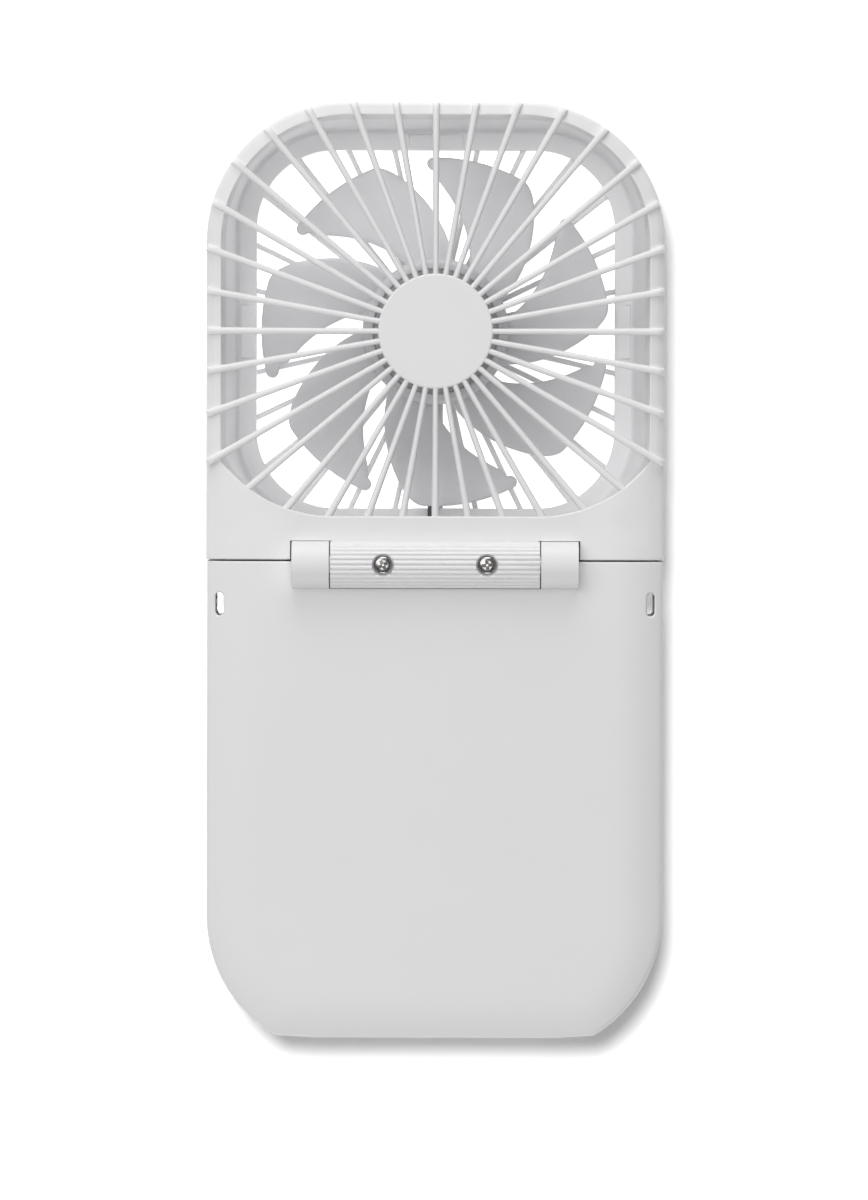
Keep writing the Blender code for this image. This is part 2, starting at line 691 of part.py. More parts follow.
def build_board(finishes):
    """The main board and what is soldered on it, behind the end wall."""
    front = BOARD_FRONT
    low = FLOOR + BOARD_HEIGHT
    top = low + BOARD_SIZE[2]
    seat = top + SEAT_GAP
    board = block("main_board", (-BOARD_SIZE[0] / 2, front, low), (BOARD_SIZE[0] / 2, front + BOARD_SIZE[1], top))
    for i, place in enumerate(board_screw_points()):
        cut(board, upright(f"board_hole_{i}", BOARD_SCREW["shank"] + SEAT_GAP, place, low - MM, top + MM, 12))
    piece(board, finishes["board"], None)
    width, depth, height = PORT_SIZE
    mouth = BASE_END + 0.3 * MM
    port = bar_along_y("usb_c_port", pill(PORT_X, PORT_Z, width, height), mouth, mouth + depth)
    inside = pill(PORT_X, PORT_Z, width - 0.7 * MM, height - 0.7 * MM)
    cut(port, bar_along_y("port_inside", inside, mouth - MM, mouth + depth - MM))
    tongue = (PORT_X - 3.2 * MM, mouth + 0.8 * MM, PORT_Z - 0.35 * MM)
    join(port, block("port_tongue", tongue, (PORT_X + 3.2 * MM, mouth + depth - MM / 2, PORT_Z + 0.35 * MM)))
    piece(port, finishes["steel"], None)
    chips = (
        ("control_chip", (-3.0, 4.4), (2.5, 9.0), 1.0, "chip"),
        ("inductor", (-11.5, 5.8), (-5.5, 9.4), 3.0, "chip"),
        ("lead_connector", (8.5, 6.2), (14.0, 9.3), 3.4, "board_part"),
    )
    for name, (x0, y0), (x1, y1), tall, finish in chips:
        low_corner = (x0 * MM, BOARD_FRONT + y0 * MM, seat)
        piece(block(name, low_corner, (x1 * MM, BOARD_FRONT + y1 * MM, seat + tall * MM)), finishes[finish], None)
    build_lamps(finishes, seat)


def build_lamps(finishes, seat):
    """Four small lamps and the clear piece that carries their light through the end wall."""
    inner = BASE_END + WALL + SEAT_GAP
    first, last = lamp_places()[0] - 1.4 * MM, lamp_places()[-1] + 1.4 * MM
    pipe = block("light_pipe", (first, inner, seat), (last, inner + 1.2 * MM, PORT_Z + 1.1 * MM))
    for i, x in enumerate(lamp_places()):
        join(pipe, rod(f"pipe_pin_{i}", LAMP_RADIUS, (x, BASE_END + 0.2 * MM, PORT_Z), (x, inner + MM / 2, PORT_Z), 10))
        low, high = (x - 0.8 * MM, inner + 1.6 * MM, seat), (x + 0.8 * MM, inner + 2.4 * MM, PORT_Z + 0.4 * MM)
        lamp = block(f"lamp_{i + 1}", low, high)
        piece(lamp, finishes["lamp"], None)
    piece(pipe, finishes["clear"], None)


def build_base_inside(finishes):
    """Battery, its pad, feet, case screws and board screws."""
    x, low, top = BATTERY_HALF, BATTERY_LOW, BATTERY_TOP
    inset = 5.0 * MM
    pad_low = INNER_FLOOR + SEAT_GAP
    cell_low = pad_low + PAD_THICKNESS + SEAT_GAP
    pad = block("battery_pad", (inset - x, low + inset, pad_low), (x - inset, top - inset, pad_low + PAD_THICKNESS))
    piece(pad, finishes["foam"], None)
    cell = block("battery_cell", (-x, low, cell_low), (x, top, cell_low + BATTERY_THICKNESS))
    edge = cell.modifiers.new("round", "BEVEL")
    edge.width = 1.2 * MM
    edge.segments = 1
    piece(cell, finishes["cell"], None)
    for i, place in enumerate(case_screw_points()):
        foot = upright(f"foot_{i + 1}", FOOT_RADIUS, place, FLOOR - FOOT_STAND, FLOOR + FOOT_RECESS - SEAT_GAP)
        piece(foot, finishes["rubber"], None)
    heads = [(f"case_screw_{i + 1}", (*p, CASE_SHOULDER - SEAT_GAP)) for i, p in enumerate(case_screw_points())]
    place_screws(pan_screw("case_screw", **CASE_SCREW), heads, finishes["steel"], None, flip=True)
    board_top = FLOOR + BOARD_HEIGHT + BOARD_SIZE[2] + SEAT_GAP
    heads = [(f"board_screw_{i + 1}", (*p, board_top)) for i, p in enumerate(board_screw_points())]
    place_screws(pan_screw("board_screw", **BOARD_SCREW), heads, finishes["steel"], None)


def build_button(finishes, slide):
    """The button's cap with its inner flange, and the switch behind it."""
    face = BASE_END + BUTTON_SET_IN
    inner = BASE_END + WALL + SEAT_GAP
    cap = bar_along_y("power_button", pill(BUTTON_X, PORT_Z, BUTTON_WIDTH, BUTTON_HEIGHT), face, inner + MM / 2)
    flange = pill(BUTTON_X, PORT_Z, BUTTON_WIDTH + 2 * BUTTON_FLANGE + MM, BUTTON_HEIGHT + 2 * BUTTON_FLANGE)
    join(cap, bar_along_y("button_flange", flange, inner, inner + BUTTON_FLANGE))
    piece(cap, finishes["white"], slide)
    stem_start = inner + BUTTON_FLANGE + SEAT_GAP
    stem_end = stem_start + 2.2 * MM
    piece(rod("switch_stem", 0.9 * MM, (BUTTON_X, stem_start, PORT_Z), (BUTTON_X, stem_end, PORT_Z), 14), finishes["chip"], slide)
    front = stem_start + BUTTON_TRAVEL + SEAT_GAP
    back = stem_end + BUTTON_TRAVEL + SEAT_GAP + MM
    seat = FLOOR + BOARD_HEIGHT + BOARD_SIZE[2] + SEAT_GAP
    body = block("switch_body", (BUTTON_X - 3.0 * MM, front, seat), (BUTTON_X + 3.0 * MM, back, PORT_Z + 1.7 * MM))
    well = (BUTTON_X, front - MM, PORT_Z), (BUTTON_X, back - MM, PORT_Z)
    cut(body, rod("switch_well", 0.9 * MM + SEAT_GAP, *well, 14))
    piece(body, finishes["chip"], None)


def build_hinge(finishes, head):
    """The ribbed cover, its two screws, the pins and the friction bushes."""
    half = BARREL_LENGTH / 2
    lift = SEAT_GAP / 2
    cover = bar_along_x("hinge_cover", ribbed_section(lift), -half, half)
    for side in (-1, 1):
        x = side * HINGE_SCREW_SPAN / 2
        shoulder = AXIS_Z + BARREL_RADIUS - HINGE_RECESS_DEPTH
        crest = AXIS_Z + BARREL_RADIUS + MM
        cut(cover, upright(f"screw_recess_{side}", HINGE_RECESS_RADIUS, (x, AXIS_Y), shoulder, crest))
        cut(cover, upright(f"screw_way_{side}", HINGE_SCREW["shank"] + SEAT_GAP, (x, AXIS_Y), AXIS_Z - MM, shoulder + MM, 14))
        cut(cover, pin_seat(f"cover_seat_{side}", side))
    cut(cover, lead_way()[0])
    piece(cover, finishes["white"], head)
    top = AXIS_Z + BARREL_RADIUS - HINGE_RECESS_DEPTH + SEAT_GAP
    names = ("left", "right")
    spots = [(f"hinge_screw_{n}", (s * HINGE_SCREW_SPAN / 2, AXIS_Y, top)) for n, s in zip(names, (-1, 1))]
    place_screws(pan_screw("hinge_screw", **HINGE_SCREW), spots, finishes["steel"], head)
    outer = BUSH_START + BUSH_LENGTH
    left = (-outer, AXIS_Y, AXIS_Z), (LEFT_PIN_LENGTH - outer, AXIS_Y, AXIS_Z)
    piece(rod("hinge_pin_left", PIN_RADIUS, *left, 20), finishes["steel"], head)
    right = rod("hinge_pin_right", PIN_RADIUS, (outer - RIGHT_PIN_LENGTH, AXIS_Y, AXIS_Z), (outer, AXIS_Y, AXIS_Z), 20)
    through = (outer - RIGHT_PIN_LENGTH - MM, AXIS_Y, AXIS_Z), (outer + MM, AXIS_Y, AXIS_Z)
    cut(right, rod("pin_bore", PIN_BORE_RADIUS, *through, 16))
    piece(right, finishes["steel"], head)
    for name, side in zip(names, (-1, 1)):
        ends = (side * BUSH_START, AXIS_Y, AXIS_Z), (side * (BUSH_START + BUSH_LENGTH), AXIS_Y, AXIS_Z)
        bush = rod(f"friction_bush_{name}", BUSH_RADIUS, *ends, 20)
        bore = (side * (BUSH_START - MM), AXIS_Y, AXIS_Z), (side * (BUSH_END + MM), AXIS_Y, AXIS_Z)
        cut(bush, rod(f"bush_bore_{name}", PIN_RADIUS + SEAT_GAP, *bore, 20))
        piece(bush, finishes["nylon"], None)


def ribbed_section(lift):
    """The cover's section: half the barrel, with a groove every few degrees across its top."""
    flat = math.degrees(math.asin(lift / BARREL_RADIUS))
    points = arc(AXIS_Y, AXIS_Z, BARREL_RADIUS, flat, flat, 1)[:1]
    first = 90 - GROOVE_PITCH * (GROOVE_COUNT - 1) / 2
    for k in range(GROOVE_COUNT):
        middle = first + GROOVE_PITCH * k
        points += arc(AXIS_Y, AXIS_Z, BARREL_RADIUS, middle - GROOVE_PITCH / 2, middle - GROOVE_ANGLE / 2, 1)
        points += arc(AXIS_Y, AXIS_Z, BARREL_RADIUS - GROOVE_DEPTH, middle - GROOVE_ANGLE / 4, middle + GROOVE_ANGLE / 4, 1)
        points += arc(AXIS_Y, AXIS_Z, BARREL_RADIUS, middle + GROOVE_ANGLE / 2, middle + GROOVE_ANGLE / 2, 1)[:1]
    last = first + GROOVE_PITCH * (GROOVE_COUNT - 0.5)
    points += arc(AXIS_Y, AXIS_Z, BARREL_RADIUS, last, 180 - flat, 2)
    return points


def pin_seat(name, side):
    """The bore in the barrel's end that holds a hinge pin."""
    length = LEFT_PIN_LENGTH if side < 0 else RIGHT_PIN_LENGTH
    inner = BUSH_START + BUSH_LENGTH - length - SEAT_GAP
    ends = (side * inner, AXIS_Y, AXIS_Z), (side * (KNUCKLE_START + MM), AXIS_Y, AXIS_Z)
    return rod(name, PIN_RADIUS + SEAT_GAP, *ends, 20)


def chin_cavity():
    """The hollow behind the chin's plate, between the well, the side walls and the split."""
    edge = HEAD_WIDTH / 2 - WALL
    low = SPLIT_Y + CHIN_HEIGHT + CHIN_ARC_RADIUS
    radius = CHIN_ARC_RADIUS + THIN_WALL
    meet = math.degrees(math.acos((edge - CHIN_FLAT_HALF) / radius))
    right = arc(CHIN_FLAT_HALF, low, radius, -meet, -90)
    left = arc(-CHIN_FLAT_HALF, low, radius, -90, meet - 180)
    floor = HEAD_BOTTOM + WALL
    return plate("chin_cavity", [(edge, floor), *right, *left, (-edge, floor)], HEAD_PART_Z - MM, INNER_FACE)


def lead_way():
    """The slot in the barrel by which the wire leaves the hinge for the head: a drop, then a run."""
    x1 = BUSH_START + BUSH_LENGTH - RIGHT_PIN_LENGTH
    x0 = x1 - LEAD_WAY
    front = AXIS_Y - 1.2 * MM
    drop = block("lead_drop", (x0, front, AXIS_Z - 3.7 * MM), (x1, AXIS_Y + 1.7 * MM, AXIS_Z + MM))
    back = HEAD_BOTTOM + WALL + 2.0 * MM
    run = block("lead_run", (x0, front, AXIS_Z - 4.0 * MM), (x1, back, INNER_FACE + 0.5 * MM))
    return drop, run


def build_grille_cover(white, head):
    """Rim, ribs, disc, chin and the lower half of the barrel, moulded in one."""
    low = HEAD_PART_Z + SEAT_GAP / 2
    cover = loft("grille_cover", edge_rings(head_outline, low, FACE, EDGE_CROWN))
    well = [well_ring(FLANGE_TOP), well_ring(RIM_Z), [(x, y, FACE + MM) for x, y, _ in well_ring(RIM_Z)]]
    cut(cover, loft("well_upper", well))
    cut(cover, chin_cavity())
    rim = (-HEAD_WIDTH, SPLIT_Y + CHIN_STEP_HEIGHT, RIM_Z), (HEAD_WIDTH, HEAD_TOP + MM, FACE + MM)
    cut(cover, block("rim_step", *rim))
    half = BARREL_LENGTH / 2
    lift = SEAT_GAP / 2
    join(cover, bar_along_x("barrel_saddle", half_disc(BARREL_RADIUS, 180, 360, lift), -half, half))
    for side in (-1, 1):
        ends = sorted((side * (half - WALL), side * (KNUCKLE_END + SPLIT_GAP + WALL)))
        under = (ends[0], HEAD_BOTTOM + WALL / 4, AXIS_Z - POCKET_RADIUS - THIN_WALL)
        join(cover, block(f"pocket_wall_{side}", under, (ends[1], AXIS_Y + POCKET_RADIUS + THIN_WALL, FACE - WALL / 2)))
        ways = (side * half, AXIS_Y, AXIS_Z), (side * (KNUCKLE_END + SPLIT_GAP), AXIS_Y, AXIS_Z)
        cut(cover, rod(f"knuckle_pocket_{side}", POCKET_RADIUS, *ways, BARREL_STEPS))
        cut(cover, pin_seat(f"saddle_seat_{side}", side))
        x = side * HINGE_SCREW_SPAN / 2
        bite = AXIS_Z + BARREL_RADIUS - HINGE_RECESS_DEPTH - HINGE_SCREW["length"]
        cut(cover, upright(f"hinge_bite_{side}", HINGE_SCREW["shank"] + SEAT_GAP, (x, AXIS_Y), bite - SEAT_GAP, AXIS_Z + MM, 14))
    for way in lead_way():
        cut(cover, way)
    for i, place in enumerate(head_screw_points()):
        screw_boss(cover, f"head_{i}", place, FLOOR + HEAD_RECESS + CASE_SCREW["length"])
    join(cover, front_ribs())
    join(cover, upright("grille_disc", DISC_RADIUS, (0.0, FAN_Y), FACE - DISC_THICKNESS, FACE - 0.05 * MM, 48))
    return piece(cover, white, head)


def front_ribs():
    """36 straight ribs from the disc to the outer edge, or into the chin."""
    outline = head_outline(0.7 * MM)
    chin = grille_opening(1.2 * MM)
    ends = []
    for k in range(FRONT_RIBS):
        angle = math.tau * k / FRONT_RIBS
        reach, slant = reach_of(outline, (0.0, FAN_Y), angle)
        inner, _ = reach_of(chin, (0.0, FAN_Y), angle)
        meets_chin = FAN_Y + inner * math.sin(angle) < SPLIT_Y + CHIN_STEP_HEIGHT
        ends.append((angle, inner if meets_chin else reach - slant * FRONT_RIB_WIDTH / 2, None))
    low = FACE - FRONT_RIB_HEIGHT
    return spokes("front_ribs", FRONT_RIBS, FRONT_RIB_WIDTH, DISC_RADIUS - 0.8 * MM, ends, low, FACE - 0.1 * MM)


def head_screw_points():
    x = HEAD_WIDTH / 2 - HEAD_SCREW_IN[0]
    return [(-x, SPLIT_Y + HEAD_SCREW_IN[1]), (x, SPLIT_Y + HEAD_SCREW_IN[1])]


def clip_frames():
    """The three clips: centre line of each, as (x, y, along X) of its outer face."""
    reach = WELL_HALF - 0.1 * MM
    return [("top", 0.0, WELL_Y + reach, True), ("left", -reach, FAN_Y, False), ("right", reach, FAN_Y, False)]


def clip_block(name, x, y, flat, length, outer, inner, low, high):
    """A box along the well's side that starts a little inside the clip line and runs inwards."""
    away = 1 if (y if flat else x) > (WELL_Y if flat else 0) else -1
    near, far = sorted((-away * outer, -away * inner))
    if flat:
        return block(name, (x - length / 2, y + near, low), (x + length / 2, y + far, high))
    return block(name, (x + near, y - length / 2, low), (x + far, y + length / 2, high))


def build_shroud(finishes, head):
    """The head's rear shell with the tapered well, the flange and its windows."""
    high = HEAD_PART_Z - SEAT_GAP / 2
    shell = tray("shroud", edge_rings(head_outline, high, FLOOR, EDGE_ROUND))
    recess_half = REAR_RING_HALF + SEAT_GAP
    recess_corner = recess_half - WELL_HALF + WELL_CORNER
    backing = rounded_square(recess_half + WALL, recess_corner + WALL, WELL_Y)
    join(shell, plate("flange_backing", backing, FLOOR + 0.2 * MM, FLANGE_TOP))
    wall = [well_ring(FLANGE_TOP - MM, THIN_WALL), well_ring(FLANGE_TOP, THIN_WALL), well_ring(high, THIN_WALL)]
    join(shell, loft("well_wall", wall))
    cut(shell, loft("well_lower", [well_ring(FLANGE_TOP), well_ring(RIM_Z)]))
    opening = rounded_square(REAR_OPENING_HALF, REAR_OPENING_CORNER, WELL_Y)
    cut(shell, plate("rear_opening", opening, FLOOR - MM, FLANGE_TOP + MM))
    recess = rounded_square(recess_half, recess_corner, WELL_Y)
    cut(shell, plate("ring_recess", recess, FLOOR - MM, FLANGE_BOTTOM))
    for name, x, y, flat in clip_frames():
        size = CLIP_LENGTH + 2 * SEAT_GAP, 0.0, CLIP_THICKNESS + 2 * SEAT_GAP
        cut(shell, clip_block(f"window_{name}", x, y, flat, *size, FLANGE_BOTTOM - MM, FLANGE_TOP + MM))
    for i, place in enumerate(head_screw_points()):
        screw_tower(shell, f"head_{i}", place, FLOOR - MM, FLOOR + HEAD_RECESS)
    pass_low = (LEAD_X, SPLIT_Y + 4.0 * MM, LEAD_Z), (LEAD_X, SPLIT_Y + CHIN_HEIGHT + 3.0 * MM, LEAD_Z)
    cut(shell, rod("lead_pass", LEAD_RADIUS + 0.6 * MM, *pass_low, 12))
    piece(shell, finishes["white"], head)
    names = ("head_screw_left", "head_screw_right")
    spots = [(name, (*p, FLOOR + HEAD_RECESS - SEAT_GAP)) for name, p in zip(names, head_screw_points())]
    place_screws(pan_screw("head_screw", **CASE_SCREW), spots, finishes["steel"], head, flip=True)


LEAD_X = -0.9 * MM
LEAD_Z = FLANGE_TOP + SEAT_GAP + LEAD_RADIUS + 0.3 * MM
STATOR_Z = HUB_BOTTOM + 2.2 * MM
BOSS_TOP = HUB_TOP - HUB_WALL - 2.2 * MM
BOSS_INNER = BEARING_RADIUS + SEAT_GAP
BOSS_OUTER = BOSS_INNER + BOSS_WALL
BOARD_SEAT = RING_TOP + 0.2 * MM


def build_rear_grille(white, head):
    """28 ribs between a clipped ring and the disc that carries the motor."""
    corner = WELL_CORNER + REAR_RING_HALF - WELL_HALF
    outer = rounded_square(REAR_RING_HALF, corner, WELL_Y)
    inner_half = REAR_RING_HALF - REAR_RING_WIDTH
    inner = rounded_square(inner_half, corner - REAR_RING_WIDTH, WELL_Y)
    grille = plate("rear_grille", outer, RING_BOTTOM, RING_TOP)
    cut(grille, plate("ring_inside", inner, RING_BOTTOM - MM, RING_TOP + MM))
    ends = []
    for k in range(REAR_RIBS):
        angle = math.tau * k / REAR_RIBS - math.pi / 2
        reach, _ = reach_of(inner, (0.0, FAN_Y), angle)
        ends.append((angle, reach + MM, WIRE_RIB_WIDTH if k == 0 else None))
    low, high = RING_BOTTOM + 0.1 * MM, RING_TOP - 0.1 * MM
    join(grille, spokes("rear_ribs", REAR_RIBS, REAR_RIB_WIDTH, REAR_HUB_RADIUS - MM, ends, low, high))
    motor_mount = [
        (REAR_HUB_RADIUS, BOARD_SEAT),
        (REAR_HUB_RADIUS, RING_BOTTOM),
        (0.0, RING_BOTTOM),
    ]
    post = [
        (0.0, RING_TOP + 0.8 * MM),
        (BOSS_INNER, RING_TOP + 0.8 * MM),
        (BOSS_INNER, BOSS_TOP),
        (BOSS_OUTER, BOSS_TOP),
        (BOSS_OUTER, STATOR_Z - SEAT_GAP),
        (BOSS_OUTER + MM, STATOR_Z - SEAT_GAP),
        (BOSS_OUTER + MM, BOARD_SEAT),
    ]
    join(grille, turned("motor_mount", post + motor_mount, (0.0, FAN_Y, 0.0), 32))
    for name, x, y, flat in clip_frames():
        tongue = CLIP_LENGTH, SEAT_GAP, SEAT_GAP + CLIP_THICKNESS
        join(grille, clip_block(f"clip_{name}", x, y, flat, *tongue, RING_TOP - 0.4 * MM, FLANGE_TOP + 1.2 * MM))
        lip = CLIP_LENGTH - 0.4 * MM, SEAT_GAP + 0.2 * MM, SEAT_GAP + CLIP_THICKNESS + CLIP_LIP
        join(grille, clip_block(f"lip_{name}", x, y, flat, *lip, FLANGE_TOP + SEAT_GAP, FLANGE_TOP + 1.1 * MM))
    return piece(grille, white, head)


def ring_profile(inner, outer, low, high):
    """A plain ring's section, outer side first and downwards."""
    return [(outer, high), (outer, low), (inner, low), (inner, high)]


def stator_outline(outer):
    """Six teeth with broad tips round a core."""
    points = []
    step = 360 / STATOR_TEETH
    for k in range(STATOR_TEETH):
        middle = step * k
        neck = 7.4
        points += arc(0, 0, CORE_RADIUS, middle - step / 2, middle - 14.0, 1)[1:]
        points += arc(0, 0, outer - 1.2 * MM, middle - neck, middle - neck, 1)[:1]
        points += arc(0, 0, outer - 0.9 * MM, middle - 24.0, middle - 24.0, 1)[:1]
        points += arc(0, 0, outer, middle - 25.0, middle + 25.0, 4)
        points += arc(0, 0, outer - 0.9 * MM, middle + 24.0, middle + 24.0, 1)[:1]
        points += arc(0, 0, outer - 1.2 * MM, middle + neck, middle + neck, 1)[:1]
        points += arc(0, 0, CORE_RADIUS, middle + 14.0, middle + 14.0, 1)[:1]
    return [(x, y + FAN_Y) for x, y in points]


YOKE_RADIUS = HUB_RADIUS - HUB_WALL - SEAT_GAP
MAGNET_RADIUS = YOKE_RADIUS - YOKE_THICKNESS - SEAT_GAP
STATOR_RADIUS = MAGNET_RADIUS - MAGNET_THICKNESS - AIR_GAP
CORE_RADIUS = BOSS_OUTER + SEAT_GAP + 1.0 * MM


def build_motor(finishes, head):
    """Stator, coils, bearings and board, on the rear grille's post."""
    core = plate("stator_core", stator_outline(STATOR_RADIUS), STATOR_Z, STATOR_Z + STATOR_THICKNESS)
    bore = BOSS_OUTER + SEAT_GAP
    cut(core, upright("stator_bore", bore, (0.0, FAN_Y), STATOR_Z - MM, STATOR_Z + STATOR_THICKNESS + MM, 24))
    piece(core, finishes["laminate"], head)
    start, end = CORE_RADIUS + 0.8 * MM, STATOR_RADIUS - 1.8 * MM
    tooth = 1.15 * MM
    for k in range(STATOR_TEETH):
        turn = Matrix.Translation((0.0, FAN_Y, 0.0)) @ Matrix.Rotation(math.tau * k / STATOR_TEETH, 4, "Z")
        low, high = STATOR_Z - SEAT_GAP - COIL_DEPTH, STATOR_Z + STATOR_THICKNESS + SEAT_GAP + COIL_DEPTH
        wide = tooth + SEAT_GAP + COIL_DEPTH
        coil = block(f"stator_coil_{k + 1}", (start, -wide, low), (end, wide, high))
        hole_low = (start - MM, -tooth - SEAT_GAP, STATOR_Z - SEAT_GAP)
        hole = block(f"coil_hole_{k}", hole_low, (end + MM, tooth + SEAT_GAP, STATOR_Z + STATOR_THICKNESS + SEAT_GAP))
        coil.data.transform(turn)
        hole.data.transform(turn)
        cut(coil, hole)
        piece(coil, finishes["copper"], head)
    board_low = BOARD_SEAT + SEAT_GAP
    ring = ring_profile(BOSS_OUTER + MM + SEAT_GAP, REAR_HUB_RADIUS - 2.5 * MM, board_low, board_low + MOTOR_BOARD_THICKNESS)
    piece(turned("motor_board", ring, (0.0, FAN_Y, 0.0), 28), finishes["board"], head)
    low = RING_TOP + 0.8 * MM + 1.8 * MM
    high = BOSS_TOP - BEARING_LENGTH
    for name, z in (("lower_bearing", low), ("upper_bearing", high)):
        ring = ring_profile(SHAFT_RADIUS + SEAT_GAP, BEARING_RADIUS, z, z + BEARING_LENGTH)
        piece(turned(name, ring, (0.0, FAN_Y, 0.0), 20), finishes["steel"], head)
    ring = ring_profile(BEARING_RADIUS - 0.7 * MM, BEARING_RADIUS, low + BEARING_LENGTH + SEAT_GAP, high - SEAT_GAP)
    piece(turned("bearing_spacer", ring, (0.0, FAN_Y, 0.0), 20), finishes["brass"], head)


def hub_profile():
    """The hub: a cup with a rounded top edge, and a short boss inside that grips the shaft."""
    inside = HUB_RADIUS - HUB_WALL
    under = HUB_TOP - HUB_WALL
    edge = [
        (HUB_RADIUS - HUB_EDGE * (1 - math.cos(a)), HUB_TOP - HUB_EDGE * (1 - math.sin(a)))
        for a in (math.radians(60), math.radians(30), 0.0)
    ]
    bore = SHAFT_RADIUS + SEAT_GAP
    boss = BEARING_RADIUS
    return [
        (0.0, HUB_TOP),
        (HUB_RADIUS - HUB_EDGE, HUB_TOP),
        *edge,
        (HUB_RADIUS, HUB_BOTTOM),
        (inside, HUB_BOTTOM),
        (inside, under),
        (boss, under),
        (boss, BOSS_TOP + SEAT_GAP),
        (bore, BOSS_TOP + SEAT_GAP),
        (bore, under + 0.3 * MM),
        (0.0, under + 0.3 * MM),
    ]


def blade_span(radius):
    """The blade's two edges at a radius, as angles in degrees: swept back, with a lobe at the tip."""
    deep = (BLADE_RADIUS - radius) / MM
    sweep = 0.596 * deep + 0.0608 * deep**2
    lobe = 2.6 * math.exp(-(((BLADE_RADIUS - radius) / MM - 1.2) / 0.95) ** 2)
    narrow = 0.035 * max(0.0, deep - 6.0) ** 2
    over = max(0.0, radius - (BLADE_RADIUS - BLADE_CORNER))
    corner = (BLADE_CORNER - math.sqrt(max(0.0, BLADE_CORNER**2 - over**2))) / radius
    far = HOOK_ANGLE - 1.6 - sweep
    return far - BLADE_ANGLE + 1.6 + narrow + math.degrees(corner), far + lobe


def blade_height(radius, angle):
    """The blade's middle surface: a helix that also falls towards the tip."""
    root_angle = blade_span(HUB_RADIUS)[0]
    fall = BLADE_PITCH * math.radians(angle - root_angle) + BLADE_DROOP * (radius - HUB_RADIUS)
    return HUB_TOP - HUB_EDGE - BLADE_THICKNESS / 2 - 0.2 * MM - fall


def blade(name, turn):
    """One blade, from inside the hub's wall to the tip, as a thin swept sheet."""
    depths = (0.0, 0.5, 1.0, 1.6, 2.4, 3.6, 6.0, 10.0, 15.0)
    radii = [BLADE_RADIUS - depth * MM for depth in depths] + [HUB_RADIUS - HUB_WALL / 2]
    across = 5
    bm = bmesh.new()
    rows = []
    for radius in radii:
        near, far = blade_span(radius)
        row = []
        for i in range(across + 1):
            angle = near + (far - near) * i / across
            spot = math.radians(angle) + turn
            row.append(bm.verts.new((radius * math.cos(spot), FAN_Y + radius * math.sin(spot), blade_height(radius, angle))))
        rows.append(row)
    for outer, inner in zip(rows, rows[1:]):
        for i in range(across):
            bm.faces.new((outer[i], outer[i + 1], inner[i + 1], inner[i]))
    sheet = solid_from(name, bm)
    wall = sheet.modifiers.new("wall", "SOLIDIFY")
    wall.thickness = BLADE_THICKNESS
    wall.offset = 0
    wall.use_even_offset = True
    return sheet


def build_rotor(finishes, spin):
    """Impeller, yoke, magnet, shaft and its clip."""
    impeller = turned("impeller", hub_profile(), (0.0, FAN_Y, 0.0), 48)
    for k in range(BLADES):
        join(impeller, blade(f"blade_{k + 1}", math.tau * k / BLADES))
    piece(impeller, finishes["white"], spin)
    low, high = HUB_BOTTOM + 0.4 * MM, HUB_TOP - HUB_WALL - SEAT_GAP
    ring = ring_profile(YOKE_RADIUS - YOKE_THICKNESS, YOKE_RADIUS, low, high)
    piece(turned("rotor_yoke", ring, (0.0, FAN_Y, 0.0), 36), finishes["steel"], spin)
    ring = ring_profile(MAGNET_RADIUS - MAGNET_THICKNESS, MAGNET_RADIUS, low + 0.3 * MM, high - 0.3 * MM)
    piece(turned("magnet_ring", ring, (0.0, FAN_Y, 0.0), 36), finishes["magnet"], spin)
    end = RING_TOP + 0.8 * MM + SEAT_GAP
    shaft = upright("motor_shaft", SHAFT_RADIUS, (0.0, FAN_Y), end, HUB_TOP - HUB_WALL, 16)
    piece(shaft, finishes["steel"], spin)
    ring = ring_profile(SHAFT_RADIUS + SEAT_GAP, BEARING_RADIUS - 0.4 * MM, end + 0.6 * MM, end + 1.1 * MM)
    clip = turned("shaft_clip", ring, (0.0, FAN_Y, 0.0), 16)
    mouth = (0.0, FAN_Y - 0.5 * MM, end), (4.0 * MM, FAN_Y + 0.5 * MM, end + 2.0 * MM)
    cut(clip, block("clip_mouth", *mouth))
    piece(clip, finishes["steel"], spin)


